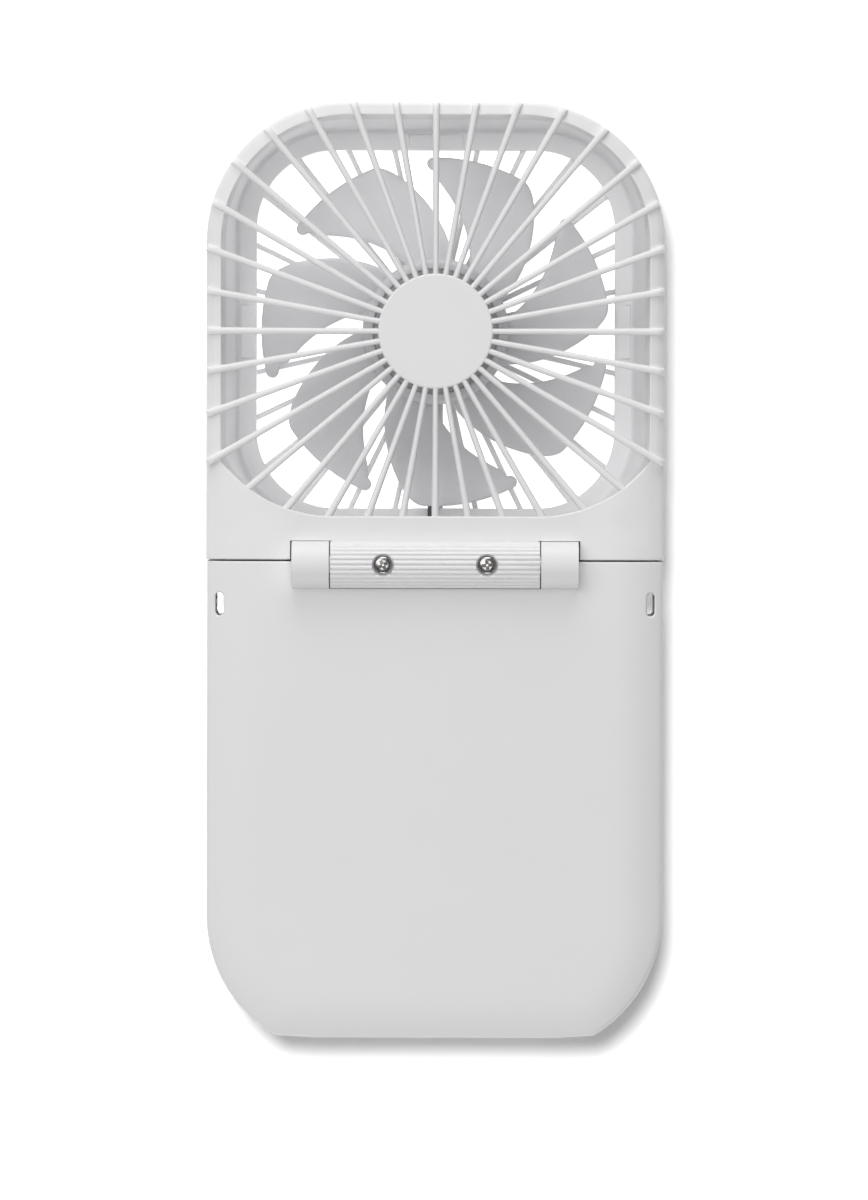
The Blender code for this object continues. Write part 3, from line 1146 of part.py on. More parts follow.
def build_leads(finishes, head):
    """The lead in two runs that meet end to end on the hinge axis, inside the hollow pin."""
    meet = BUSH_START + BUSH_LENGTH
    way = BUSH_START + BUSH_LENGTH - RIGHT_PIN_LENGTH - LEAD_WAY / 2
    side = BATTERY_HALF + 1.4 * MM
    back = BATTERY_LOW - 1.4 * MM
    low = INNER_FLOOR + SEAT_GAP + LEAD_RADIUS + 2.0 * MM
    connector = FLOOR + BOARD_HEIGHT + BOARD_SIZE[2] + SEAT_GAP + 1.8 * MM
    base_route = (
        (11.2 * MM, BOARD_FRONT + 9.4 * MM + SEAT_GAP, connector),
        (11.2 * MM, back - 2.2 * MM, connector - 0.2 * MM),
        (12.6 * MM, back - 0.4 * MM, low + 3.0 * MM),
        (17.0 * MM, back, low + 0.6 * MM),
        (side - 4.0 * MM, back + 0.2 * MM, low),
        (side - 0.5 * MM, back + 1.4 * MM, low),
        (side, back + 6.0 * MM, low),
        (side, (BATTERY_LOW + BATTERY_TOP) / 2, low),
        (side, BATTERY_TOP - 10.0 * MM, low + 0.4 * MM),
        (side - 0.4 * MM, BATTERY_TOP - MM, low + 2.6 * MM),
        (KNUCKLE_END + 0.4 * MM, SPLIT_Y - 5.9 * MM, low + 6.0 * MM),
        (meet + 1.8 * MM, SPLIT_Y - 3.8 * MM, AXIS_Z - 10.0 * MM),
        (meet + 1.7 * MM, SPLIT_Y - 3.3 * MM, AXIS_Z - 7.0 * MM),
        (meet + 1.7 * MM, SPLIT_Y - 2.4 * MM, AXIS_Z - 4.4 * MM),
        (meet + 1.6 * MM, AXIS_Y - 0.6 * MM, AXIS_Z - 1.9 * MM),
        (meet + 1.0 * MM, AXIS_Y - 0.1 * MM, AXIS_Z - 0.4 * MM),
        (meet + 0.35 * MM, AXIS_Y, AXIS_Z),
    )
    piece(tube("base_lead", base_route, LEAD_RADIUS), finishes["lead"], None)
    head_route = (
        (meet - 0.1 * MM, AXIS_Y, AXIS_Z),
        (meet - 4.0 * MM, AXIS_Y, AXIS_Z),
        (way + 1.9 * MM, AXIS_Y, AXIS_Z),
        (way + 0.6 * MM, AXIS_Y + 0.1 * MM, AXIS_Z - 0.8 * MM),
        (way, AXIS_Y + 0.9 * MM, AXIS_Z - 2.4 * MM),
        (way - 0.2 * MM, HEAD_BOTTOM + WALL, AXIS_Z - 2.95 * MM),
        (way - 0.8 * MM, SPLIT_Y + 4.1 * MM, AXIS_Z - 4.4 * MM),
        (way - 3.0 * MM, SPLIT_Y + 4.4 * MM, AXIS_Z - 8.5 * MM),
        (8.0 * MM, SPLIT_Y + 4.2 * MM, FLOOR + 11.0 * MM),
        (4.0 * MM, SPLIT_Y + 3.9 * MM, FLOOR + 7.0 * MM),
        (1.0 * MM, SPLIT_Y + 3.9 * MM, LEAD_Z + 0.4 * MM),
        (-0.6 * MM, SPLIT_Y + 4.8 * MM, LEAD_Z),
        (LEAD_X, SPLIT_Y + 6.6 * MM, LEAD_Z),
        (LEAD_X, SPLIT_Y + 10.8 * MM, LEAD_Z),
        (LEAD_X, SPLIT_Y + 13.0 * MM, RING_TOP + SEAT_GAP + LEAD_RADIUS + 0.5 * MM),
        (LEAD_X, SPLIT_Y + 15.6 * MM, RING_TOP + SEAT_GAP + LEAD_RADIUS),
        (LEAD_X, SPLIT_Y + 22.0 * MM, RING_TOP + SEAT_GAP + LEAD_RADIUS),
        (LEAD_X, FAN_Y - REAR_HUB_RADIUS + 0.6 * MM, BOARD_SEAT + SEAT_GAP + LEAD_RADIUS),
        (LEAD_X, FAN_Y - REAR_HUB_RADIUS + 2.2 * MM, BOARD_SEAT + SEAT_GAP + LEAD_RADIUS),
    )
    piece(tube("motor_lead", head_route, LEAD_RADIUS), finishes["lead"], head)


def build_fan():
    clear_scene()
    finishes = {
        "white": material("white_abs", (0.83, 0.83, 0.83), 0.45),
        "steel": material("plated_steel", (0.62, 0.62, 0.62), 0.25, 1.0),
        "brass": material("brass", (0.75, 0.6, 0.3), 0.3, 1.0),
        "copper": material("enamelled_copper", (0.72, 0.32, 0.14), 0.35, 1.0),
        "laminate": material("silicon_steel", (0.35, 0.35, 0.37), 0.4, 1.0),
        "magnet": material("ferrite", (0.08, 0.08, 0.08), 0.7),
        "board": material("solder_mask", (0.03, 0.22, 0.09), 0.4),
        "chip": material("moulded_epoxy", (0.03, 0.03, 0.03), 0.6),
        "board_part": material("nylon_connector", (0.8, 0.78, 0.7), 0.5),
        "lamp": material("lamp_resin", (0.9, 0.88, 0.6), 0.3),
        "clear": material("clear_acrylic", (0.9, 0.93, 0.95), 0.1),
        "cell": material("pouch_foil", (0.55, 0.57, 0.62), 0.35, 0.6),
        "foam": material("adhesive_foam", (0.15, 0.15, 0.15), 0.9),
        "rubber": material("silicone_rubber", (0.75, 0.75, 0.75), 0.8),
        "nylon": material("nylon", (0.78, 0.77, 0.72), 0.5),
        "lead": material("lead_jacket", (0.03, 0.03, 0.03), 0.5),
    }
    head = frame_at("head_hinge", (0.0, AXIS_Y, AXIS_Z))
    spin = frame_at("rotor_axis", (0.0, FAN_Y, HUB_BOTTOM), head)
    slide = frame_at("button_slide", (BUTTON_X, BASE_END, PORT_Z))
    build_base_top(finishes["white"])
    build_base_bottom(finishes["white"])
    build_base_inside(finishes)
    build_board(finishes)
    build_button(finishes, slide)
    build_grille_cover(finishes["white"], head)
    build_shroud(finishes, head)
    build_rear_grille(finishes["white"], head)
    build_hinge(finishes, head)
    build_motor(finishes, head)
    build_rotor(finishes, spin)
    build_leads(finishes, head)


build_fan()
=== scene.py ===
# %% [markdown]
# # A folding desk fan, dressed for the camera
# The fan is two mouldings of white ABS on a ribbed hinge: a head with a seven-bladed impeller behind a
# radial grille, and a blank battery base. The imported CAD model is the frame. This script puts a finely
# worked skin in the place of each visible moulding, and gives every part its real finish. Lengths are
# written in millimetres and turned to metres when a mesh is made.

import math

import bmesh
import bpy
import numpy as np
from mathutils import Matrix, Vector


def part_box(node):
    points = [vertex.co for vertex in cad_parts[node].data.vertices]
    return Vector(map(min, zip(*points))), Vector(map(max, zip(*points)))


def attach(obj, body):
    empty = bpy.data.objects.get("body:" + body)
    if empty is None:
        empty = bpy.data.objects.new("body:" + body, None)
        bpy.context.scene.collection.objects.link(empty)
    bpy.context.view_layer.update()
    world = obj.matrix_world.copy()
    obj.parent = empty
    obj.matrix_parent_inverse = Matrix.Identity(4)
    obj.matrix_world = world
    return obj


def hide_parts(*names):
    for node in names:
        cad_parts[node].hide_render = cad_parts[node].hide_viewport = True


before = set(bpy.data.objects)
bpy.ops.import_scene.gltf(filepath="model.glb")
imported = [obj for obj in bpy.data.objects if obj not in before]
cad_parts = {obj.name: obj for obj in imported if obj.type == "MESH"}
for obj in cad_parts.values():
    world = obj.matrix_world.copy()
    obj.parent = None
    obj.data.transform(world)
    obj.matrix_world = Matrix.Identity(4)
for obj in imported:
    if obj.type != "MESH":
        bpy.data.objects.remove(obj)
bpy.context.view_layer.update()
MM = 0.001

# %% [markdown]
# ## Levels and lines
# The head points to +Y and the face looks up. The fan's axis is upright at Y 46.9, and the hinge lies
# along X just above the face. These are the levels and lines that the CAD was drawn from, so a piece made
# here lands on what carries it. Only the base's half width differs: it is 0.2 mm more than the CAD's,
# because the photograph shows the base that much fuller.

# %% Name the fan's levels
# Heights of the face, the rim, the underside and the flange, and of the lines where the shells part
FACE = 24.0
RIM_TOP = 23.2
FLOOR = 0.5
FLANGE_LOW = 2.5
FLANGE_TOP = 3.9
HEAD_PART = 18.0
BASE_PART = 15.0
# In plan: half widths, the round corners, where head and base start and end, and the fan's and the
# well's centres
HEAD_HALF = 45.0
BASE_HALF = 44.8
HEAD_CORNER = 27.5
HEAD_TOP = 91.9
HEAD_LOW = 2.05
BASE_TOP = 1.75
BASE_END = -91.9
FAN_Y = 46.9
WELL_Y = 47.2
# The hinge's axis in Y and Z, its barrel, and the pocket that clears the barrel
HINGE = (1.1, 24.35)
AXIS_Y, AXIS_Z = HINGE
BARREL = 4.6
POCKET = 4.72
# Walls of the cases and of the well, half the seam of two shells, and how far a cutter runs past a wall
WALL = 1.8
THIN = 1.2
PART_SEAM = 0.15
PAST = 1.0
low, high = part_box("base_bottom_cover")
print("base runs from", [round(v / MM, 2) for v in low], "to", [round(v / MM, 2) for v in high])

# %% [markdown]
# ## From a grid of points to a mesh
# Almost every piece is a skin: rows of points, one ring after another, joined to their neighbours. Numpy
# works out all the points of a piece at once, and the same indexing joins any grid. Rings that have
# shrunk to a point, as at the pole of a turned part, are welded, and the faces are turned outwards.

# %% Make a mesh from rows of points
def put_in_scene(name, data):
    """A new object for a mesh, curve, camera or lamp, linked to the scene."""
    thing = bpy.data.objects.new(name, data)
    bpy.context.scene.collection.objects.link(thing)
    return thing


def settled_mesh(thing):
    """The mesh that an object shows once its modifiers or its curve are worked out."""
    bpy.context.view_layer.update()
    return bpy.data.meshes.new_from_object(thing.evaluated_get(bpy.context.evaluated_depsgraph_get()))


def skin(name, rows, closed=False):
    """A mesh through a grid of points. rows[i, j] is point j of ring i, in mm.

    Each four neighbours are a face, the last point of a ring is joined to its first, and the last ring
    is joined to the first when closed, or else each end ring is filled flat.
    """
    count, around = rows.shape[:2]
    ring = np.arange(count if closed else count - 1)[:, None]
    spot = np.arange(around)[None, :]
    after = (spot + 1) % around
    above = (ring + 1) % count
    parts = [ring * around + spot, ring * around + after, above * around + after, above * around + spot]
    faces = np.stack(np.broadcast_arrays(*parts), axis=-1).reshape(-1, 4).tolist()
    if not closed:
        faces.append(list(range(around)))
        faces.append(list(range((count - 1) * around, count * around)))
    mesh = bpy.data.meshes.new(name)
    mesh.from_pydata(rows.reshape(-1, 3) * MM, [], faces)
    return tidy_mesh(name, mesh)


def tidy_mesh(name, mesh):
    """Welds points that coincide, turns every shell's faces outwards and wraps the mesh in an object."""
    bm = bmesh.new()
    bm.from_mesh(mesh)
    bmesh.ops.remove_doubles(bm, verts=bm.verts, dist=0.002 * MM)
    bmesh.ops.recalc_face_normals(bm, faces=bm.faces)
    bm.to_mesh(mesh)
    bm.free()
    return put_in_scene(name, mesh)


def gather(name, things):
    """One object that holds the shells of several, whose own objects are then removed."""
    bm = bmesh.new()
    for thing in things:
        bm.from_mesh(thing.data)
        bpy.data.objects.remove(thing, do_unlink=True)
    mesh = bpy.data.meshes.new(name)
    bm.to_mesh(mesh)
    bm.free()
    return put_in_scene(name, mesh)


def carve(thing, cutters, operation="DIFFERENCE"):
    """Cuts the cutters out of a solid, or joins them on, and uses the cutters up."""
    for cutter in cutters:
        change = thing.modifiers.new("carve", "BOOLEAN")
        change.operation = operation
        change.object = cutter
    mesh = settled_mesh(thing)
    thing.modifiers.clear()
    thing.data = mesh
    for cutter in cutters:
        bpy.data.objects.remove(cutter, do_unlink=True)
    return thing


def smooth(thing, angle=35.0):
    """Shades a piece smooth, but keeps edges sharper than the angle, and lets flat faces stay flat."""
    mesh = thing.data
    mesh.polygons.foreach_set("use_smooth", np.ones(len(mesh.polygons), dtype=bool))
    mesh.set_sharp_from_angle(angle=math.radians(angle))
    weigh = thing.modifiers.new("even shading", "WEIGHTED_NORMAL")
    weigh.keep_sharp = True
    return thing


def dress(thing, finish, body, nodes):
    """Gives a finished piece its material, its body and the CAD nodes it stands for."""
    thing.data.materials.clear()
    thing.data.materials.append(finish)
    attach(thing, body)
    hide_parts(*nodes)
    print(thing.name, "has", len(thing.data.polygons), "faces")
    return thing


# %% [markdown]
# ## Outlines in plan
# A moulding's edge is a run of straight sides and arcs. Rings of unlike outlines can only be joined point
# for point when both are met by the same rays, so a piece is drawn around a centre: each ring says how
# far out along each ray its outline lies.

# %% Draw outlines and meet them with rays
def arc(x, y, radius, start, end, steps=24):
    """Points of an arc, from one angle to another in degrees, at even steps."""
    turn = np.radians(np.linspace(start, end, steps + 1))
    return np.stack([x + radius * np.cos(turn), y + radius * np.sin(turn)], axis=1)


def rounded_square(half, corner, y):
    """Four quarter arcs, each a corner's radius in from the sides, in turn round a centre at y."""
    side = half - corner
    quarters = ((side, side, 0), (-side, side, 90), (-side, -side, 180), (side, -side, 270))
    return np.concatenate([arc(sx, y + sy, corner, a, a + 90) for sx, sy, a in quarters])


def pill(x, y, width, length, steps=16):
    """Two half circles joined by straight sides, the longer way along whichever size is larger."""
    radius = min(width, length) / 2
    away = abs(length - width) / 2
    if length >= width:
        ends = (arc(x, y + away, radius, 0, 180, steps), arc(x, y - away, radius, 180, 360, steps))
    else:
        ends = (arc(x + away, y, radius, -90, 90, steps), arc(x - away, y, radius, 90, 270, steps))
    return np.concatenate(ends)


def rectangle(x0, y0, x1, y1):
    """Four corners, in turn round from the first."""
    return np.array([(x0, y0), (x1, y0), (x1, y1), (x0, y1)])


def head_outline(inset=0.0, split=0.0):
    """The head's edge: round top corners, straight sides and a straight lower edge at the split."""
    side = HEAD_HALF - HEAD_CORNER
    top = HEAD_TOP - HEAD_CORNER
    edge = HEAD_HALF - inset
    corners = [arc(s, top, HEAD_CORNER - inset, a, a + 90) for s, a in ((side, 0), (-side, 90))]
    return np.concatenate([[(edge, HEAD_LOW + split)], *corners, [(-edge, HEAD_LOW + split)]])


END_FLAT = 23.5
END_TURN = 59.4
END_SHORT = 3.4


def base_outline(inset=0.0, split=0.0):
    """The base's edge: straight sides, and corner arcs that the flat end cuts short of a quarter."""
    side = BASE_HALF - HEAD_CORNER
    low = BASE_END + HEAD_CORNER - END_SHORT
    radius = HEAD_CORNER - inset
    edge = BASE_HALF - inset
    left = arc(-side, low, radius, 180, 180 + END_TURN)
    right = arc(side, low, radius, -END_TURN, 0)
    end = [(-END_FLAT, BASE_END + inset), (END_FLAT, BASE_END + inset)]
    return np.concatenate([[(-edge, BASE_TOP - split)], left, end, right, [(edge, BASE_TOP - split)]])


OPENING_HALF = 42.0
OPENING_CORNER = 25.0
OPENING_TOP = 89.3
CHIN_EDGE = 10.6
CHIN_FLAT = 20.2
CHIN_ARC = 27.5


def grille_opening(outset=0.0):
    """The opening of the face: round top corners, and two arcs that rise from the chin's straight edge."""
    half = OPENING_HALF + outset
    side = OPENING_HALF - OPENING_CORNER
    top = OPENING_TOP - OPENING_CORNER
    low = CHIN_EDGE + CHIN_ARC
    radius = CHIN_ARC + outset
    meet = math.degrees(math.acos(min(1.0, (half - CHIN_FLAT) / radius)))
    upper = [arc(s, top, OPENING_CORNER + outset, a, a + 90) for s, a in ((side, 0), (-side, 90))]
    lower = [arc(-CHIN_FLAT, low, radius, 180 + meet, 270), arc(CHIN_FLAT, low, radius, 270, 360 - meet)]
    return np.concatenate(upper + lower)


def reach(outline, centre_y, angles):
    """How far rays from a centre on the middle line run to an outline.

    A ray and a side cross where the side's start, crossed with the side, is divided by the ray crossed
    with the side. Crossings off the side's ends are dropped, and the furthest that is left counts.
    """
    start = outline - np.array([0.0, centre_y])
    side = np.roll(outline, -1, axis=0) - outline
    ray = np.stack([np.cos(angles), np.sin(angles)], axis=1)[:, None, :]
    turn = ray[..., 0] * side[:, 1] - ray[..., 1] * side[:, 0]
    turn = np.where(np.abs(turn) < 1e-9, 1e-9, turn)
    along = (start[:, 0] * side[:, 1] - start[:, 1] * side[:, 0]) / turn
    share = (start[:, 0] * ray[..., 1] - start[:, 1] * ray[..., 0]) / turn
    hit = (share > -1e-6) & (share < 1 + 1e-6) & (along > 0)
    return np.where(hit, along, 0.0).max(axis=1)


def ring_at(radius, angles, centre_y, z):
    """Points at a distance along each ray, at a height that may differ from ray to ray."""
    x = radius * np.cos(angles)
    y = centre_y + radius * np.sin(angles)
    return np.stack(np.broadcast_arrays(x, y, z), axis=-1)


def depth_in(x, y, outline):
    """How far points lie inside the open run of an outline: the distance to its nearest side."""
    start = outline[:-1]
    side = outline[1:] - start
    away = np.stack([x, y], axis=-1)[..., None, :] - start
    share = np.clip((away * side).sum(-1) / (side**2).sum(-1), 0.0, 1.0)
    return np.hypot(*np.moveaxis(away - share[..., None] * side, -1, 0)).min(axis=-1)


def rounding(depth, radius, drop=None):
    """How far a rounded edge falls at a depth in from it: a quarter circle, or an ellipse of that drop."""
    share = np.clip(1 - depth / radius, 0.0, 1.0)
    return (drop or radius) * (1 - np.sqrt(1 - share**2))


CROWN_DROP = 1.32
CROWN_WIDTH = 10.0
CROWN_POWER = 2.6
EDGE_ROUND = (0.7, 0.88)
SIDE_DROP = 1.1
SIDE_WIDTH = 11.0


def crown(depth):
    """The faces' soft edge: a long shallow curve over the last 10 mm, then a tight round at the corner."""
    share = np.clip(1 - depth / CROWN_WIDTH, 0.0, 1.0)
    return CROWN_DROP * share**CROWN_POWER + rounding(depth, *EDGE_ROUND)


def side_roll(x, half):
    """The faces also fall away to the left and right: the square of the way into the last 11 mm."""
    return SIDE_DROP * np.clip(1 - (half - np.abs(x)) / SIDE_WIDTH, 0.0, 1.0) ** 2


print("outlines have", len(head_outline()), "points for the head and", len(base_outline()), "for the base")

# %% [markdown]
# ## Colour and nodes
# Colours are written as sRGB hex, as a paint chart gives them, and turned to linear light by one
# function. One small function adds a node with its settings and links, so that each material below reads
# as a short list of what its surface is made of.

# %% Helpers for materials
def linear(hex_colour, alpha=1.0):
    """An sRGB hex colour as linear light: each channel by the sRGB curve."""
    parts = np.array([int(hex_colour[i : i + 2], 16) for i in (1, 3, 5)]) / 255
    parts = np.where(parts <= 0.04045, parts / 12.92, ((parts + 0.055) / 1.055) ** 2.4)
    return (*parts.tolist(), alpha)


def add(tree, kind, settings=None, links=None):
    """Adds one node. Settings are its own properties or its sockets' values, and links feed its sockets."""
    made = tree.nodes.new(kind)
    for key, value in (settings or {}).items():
        if isinstance(key, str) and hasattr(made, key):
            setattr(made, key, value)
        else:
            made.inputs[key].default_value = value
    for key, source in (links or {}).items():
        tree.links.new(source, made.inputs[key])
    return made


def blank(name, colour, roughness, metallic=0.0, **sockets):
    """A new material with its shader's even values set, and Object coordinates ready to read."""
    made = bpy.data.materials.new(name)
    made.use_nodes = True
    tree = made.node_tree
    shader = tree.nodes["Principled BSDF"]
    shader.inputs["Base Color"].default_value = linear(colour)
    shader.inputs["Roughness"].default_value = roughness
    shader.inputs["Metallic"].default_value = metallic
    for key, value in sockets.items():
        shader.inputs[key.replace("_", " ")].default_value = value
    place = add(tree, "ShaderNodeTexCoord").outputs["Object"]
    return made, tree, shader, place


def speckle(tree, place, size_mm, detail=2.0):
    """Noise whose grains are about this many millimetres across."""
    settings = {"Scale": 1 / (size_mm * MM), "Detail": detail}
    return add(tree, "ShaderNodeTexNoise", settings, {"Vector": place}).outputs["Fac"]


def between(tree, source, low_value, high_value, start=0.3, end=0.7):
    """Stretches a pattern so that its start gives one value and its end another."""
    settings = {"From Min": start, "From Max": end, "To Min": low_value, "To Max": high_value}
    return add(tree, "ShaderNodeMapRange", settings, {"Value": source}).outputs["Result"]


def tint(tree, source, first, second):
    """Mixes two hex colours by a pattern: sockets 6 and 7 of a colour Mix node take them, and 2 gives it."""
    settings = {"data_type": "RGBA", 6: linear(first), 7: linear(second)}
    return add(tree, "ShaderNodeMix", settings, {"Factor": source}).outputs[2]


def relief(tree, shader, source, height_mm, strength=1.0):
    """Raises a surface by a pattern, to a height in millimetres."""
    settings = {"Strength": strength, "Distance": height_mm * MM}
    bump = add(tree, "ShaderNodeBump", settings, {"Height": source})
    tree.links.new(bump.outputs["Normal"], shader.inputs["Normal"])
    return bump


# %% [markdown]
# ## White ABS, spark-eroded
# The cases are injection-moulded ABS in a warm white. The mould was spark-eroded to a very fine matt
# grain, about 0.1 mm across. That is under a pixel here, so it is drawn at 0.35 mm and kept faint: it
# breaks up the highlight without showing as dots. The colour drifts by under one percent over a few
# centimetres, as pigment flow does. The head's face is a shade lighter than the base's, as the photograph
# shows. The rear shells and the rear grille are whiter than both: painted light, a lighter copy of the
# ABS that stands in for the light the deep well's walls do not get, and brings them to their photographed
# tone.

# %% Moulded ABS
def moulded_abs(name, light, dark, roughness):
    """Satin plastic: a slow drift between two whites, an uneven gloss and a fine raised grain."""
    made, tree, shader, place = blank(name, light, roughness, IOR=1.53)
    drift = between(tree, speckle(tree, place, size_mm=42.0, detail=3.0), 0.0, 1.0)
    tree.links.new(tint(tree, drift, light, dark), shader.inputs["Base Color"])
    grain = speckle(tree, place, size_mm=0.35, detail=3.0)
    gloss = speckle(tree, place, size_mm=6.0, detail=4.0)
    gloss = between(tree, gloss, roughness - 0.03, roughness + 0.04)
    tree.links.new(gloss, shader.inputs["Roughness"])
    relief(tree, shader, grain, height_mm=0.006, strength=0.5)
    return made


head_abs = moulded_abs("head_moulded_abs", "#E8E7E8", "#E6E5E6", 0.52)
base_abs = moulded_abs("base_moulded_abs", "#E5E4E5", "#E2E2E3", 0.52)
# Painted light: the rear shells' ABS is drawn whiter than the head's and base's to stand in for light in the
# deep well
rear_abs_painted_lighter = moulded_abs("rear_moulded_abs_painted_lighter", "#F5F4F5", "#F1F1F2", 0.5)

# %% [markdown]
# ## Impeller polypropylene
# The impeller is natural polypropylene: waxier and smoother than the ABS, so its highlight is tighter,
# and light bleeds a little through the thin blades.

# %% Moulded polypropylene
def moulded_pp(name, light, dark):
    """Waxy plastic: a slow drift of colour, a shallow flow pattern, and light let in by 0.8 mm."""
    made, tree, shader, place = blank(name, light, 0.36, IOR=1.49)
    shader.inputs["Subsurface Weight"].default_value = 0.12
    shader.inputs["Subsurface Radius"].default_value = (1.0, 0.95, 0.9)
    shader.inputs["Subsurface Scale"].default_value = 0.8 * MM
    drift = between(tree, speckle(tree, place, size_mm=14.0, detail=3.0), 0.0, 1.0)
    tree.links.new(tint(tree, drift, light, dark), shader.inputs["Base Color"])
    flow = speckle(tree, place, size_mm=1.6, detail=4.0)
    relief(tree, shader, flow, height_mm=0.004, strength=0.4)
    return made


impeller_pp = moulded_pp("impeller_moulded_pp", "#E1E1E3", "#DCDCDE")
print("mouldings have", len(bpy.data.materials), "materials so far")

# %% [markdown]
# ## The base's two covers
# Each cover is a lid: a shell with one closed face. Its rings start near the middle of the face, run out
# to the edge, turn down the wall and come back along the inside, so a single skin has a true thickness.
# The face is flat and sinks softly over the last ten millimetres, where a height is worked out for each
# point from its depth inside the outline.

# %% Height of the base's faces
EDGE_IN = np.array([0, 0.03, 0.08, 0.15, 0.25, 0.38, 0.52, 0.7, 1.0, 1.4, 2.0, 2.8, 3.8, 5.0, 6.4, 8.0, 10.0])
SPLIT_ROUND = 0.35
SPLIT_IN = 1.2
UNDER_ROUND = (2.2, 2.4)
BASE_CENTRE = -45.0
BASE_RAYS = 540


def base_angles():
    """Even rays, with one through each end of the straight split edge so that its corners stay sharp."""
    corner = math.atan2(BASE_TOP - BASE_CENTRE, BASE_HALF)
    turns = np.linspace(-math.pi, math.pi, BASE_RAYS + 1)[:-1]
    return np.unique(np.concatenate([turns, [corner, math.pi - corner]]))


def base_face(x, y):
    """Face height: flat, less the crown by the depth from sides and end, less a round at the split."""
    sides = depth_in(x, y, base_outline())
    return FACE - crown(sides) - side_roll(x, BASE_HALF) - rounding(BASE_TOP - y, SPLIT_ROUND)


def base_floor(x, y):
    """Underside height: flat, and rounded up 2.4 mm over 2.2 mm at the edge."""
    return FLOOR + rounding(depth_in(x, y, base_outline()), *UNDER_ROUND)


def lid(name, height, part_z, under_z):
    """A shell from the middle of its face out over the edge, down to the part line and back inside.

    The first rings lie at small shares of the way out, and the last ones go back in by such shares.
    """
    angles = base_angles()

    def ring(radius, z):
        return ring_at(radius, angles, BASE_CENTRE, z)

    inner = reach(base_outline(EDGE_IN[-1], SPLIT_IN), BASE_CENTRE, angles)
    middle = height(0.0 * angles, BASE_CENTRE + 0.0 * angles)
    rows = [ring(inner * share, middle) for share in (0.03, 0.35, 0.7)]
    for inset in EDGE_IN[::-1]:
        radius = reach(base_outline(inset, min(inset, SPLIT_IN)), BASE_CENTRE, angles)
        flat = ring(radius, 0.0)
        rows.append(ring(radius, height(flat[:, 0], flat[:, 1])))
    outside = reach(base_outline(), BASE_CENTRE, angles)
    inside = reach(base_outline(WALL, WALL), BASE_CENTRE, angles)
    rows += [ring(outside, part_z), ring(inside, part_z)]
    rows += [ring(inside * share, under_z) for share in (1.0, 0.5, 0.03)]
    return skin(name, np.stack(rows))


# %% [markdown]
# Holes, slots and pockets are cut with plain solids: an outline drawn out between two levels, along Z or
# along X or Y. The barrel's pocket is a round bar along the hinge.

# %% Straight solids for cutting
def prism(name, outline, start, end, along="z"):
    """An outline drawn out straight from start to end: its two axes are the ones that along leaves."""
    order = {"z": (0, 1, 2), "x": (2, 0, 1), "y": (0, 2, 1)}[along]
    layers = [np.insert(outline, 2, level, axis=1)[:, order] for level in (start, end)]
    return skin(name, np.stack(layers))


def lathe(name, profile, centre=(0.0, 0.0), axis="z", steps=96):
    """A profile of (radius, height) turned about an axis: upright at (x, y), along X at (y, z), or along
    Y at (x, z)."""
    radius, height = np.array(profile, float).T
    turn = np.linspace(0, 2 * math.pi, steps + 1)[:-1]
    first = centre[0] + radius[:, None] * np.cos(turn)
    second = centre[1] + radius[:, None] * np.sin(turn)
    up = np.broadcast_to(height[:, None], first.shape)
    parts = {"z": (first, second, up), "x": (up, first, second), "y": (first, up, second)}[axis]
    return skin(name, np.stack(parts, axis=-1))


def bar(name, radius, start, end, centre, axis="z", steps=96):
    """A round bar along an axis."""
    return lathe(name, [(radius, start), (radius, end)], centre, axis, steps)


def hinge_bar(name, radius, start, end, steps=160):
    """A round bar about the hinge's axis, between two places in X."""
    return bar(name, radius, *sorted((start, end)), HINGE, "x", steps)


def quarter_round(radius, top, ease, count):
    """Points of a turned piece's rounded upper edge, from its flat top out to its upright side."""
    turn = np.linspace(0, math.pi / 2, count)
    return [(radius - ease + ease * math.sin(a), top - ease + ease * math.cos(a)) for a in turn]


# %% [markdown]
# The lanyard slots go right through both covers near the hinge. In the photograph each has a softened
# lip, so a thin liner stands in each slot: its lip follows the face, opens out a little and is rounded
# where it meets the face.

# %% Slots and their liners
SLOT_X = 42.33
SLOT_Y = -6.7
SLOT = (1.5, 4.5)
SLOT_CUT = 0.3
LINER_LIP = ((0.32, 0.02), (0.16, 0.08), (0.05, 0.2), (0.0, 0.4))
LINER_BACK = ((1.0, 0.5), (0.5, 0.12))


def slot_outline(side, spread):
    """A slot's outline, grown all round by the spread."""
    return pill(side * SLOT_X, SLOT_Y, SLOT[0] + 2 * spread, SLOT[1] + 2 * spread)


def slot_liner(name, height, bottom, up=1):
    """The wall round each slot: two pills a millimetre apart, whose lip follows the face and opens out.

    A loop is a spread and its drop under the face, and the two without a drop lie at the bottom.
    """
    places = []
    for side in (-1, 1):
        loops = []
        for spread, drop in (*LINER_LIP, (0.0, None), (1.0, None), *LINER_BACK):
            outline = slot_outline(side, spread)
            face = height(outline[:, 0], outline[:, 1])
            loops.append(np.column_stack([outline, 0 * face + bottom if drop is None else face - up * drop]))
        places.append(skin(name, np.stack(loops), closed=True))
    return places


def slot_cutters():
    """Two straight pills, wider than the slots but narrower than the liners, so that these are held."""
    return [prism("slot", slot_outline(side, SLOT_CUT), FLOOR - PAST, FACE + PAST) for side in (-1, 1)]


# %% [markdown]
# The two smooth hinge knuckles belong to the base. Each is a short round bar about the hinge's axis with
# its ends eased, open inside towards the barrel where the friction bush sits on its pin.

# %% Base top cover with its knuckles
KNUCKLE = (20.75, 28.15)
KNUCKLE_EASE = 0.22
BUSH_BORE = 3.0
BUSH_DEPTH = 4.4
CORE = 0.2
HINGE_WALL = (-29.9, -5.6, 29.9, 1.4)
HINGE_WALL_Z = (18.2, 23.0)
LEAD_DROP = (25.1, -3.0, 27.3, 0.8)
LEAD_DROP_Z = (17.0, AXIS_Z)


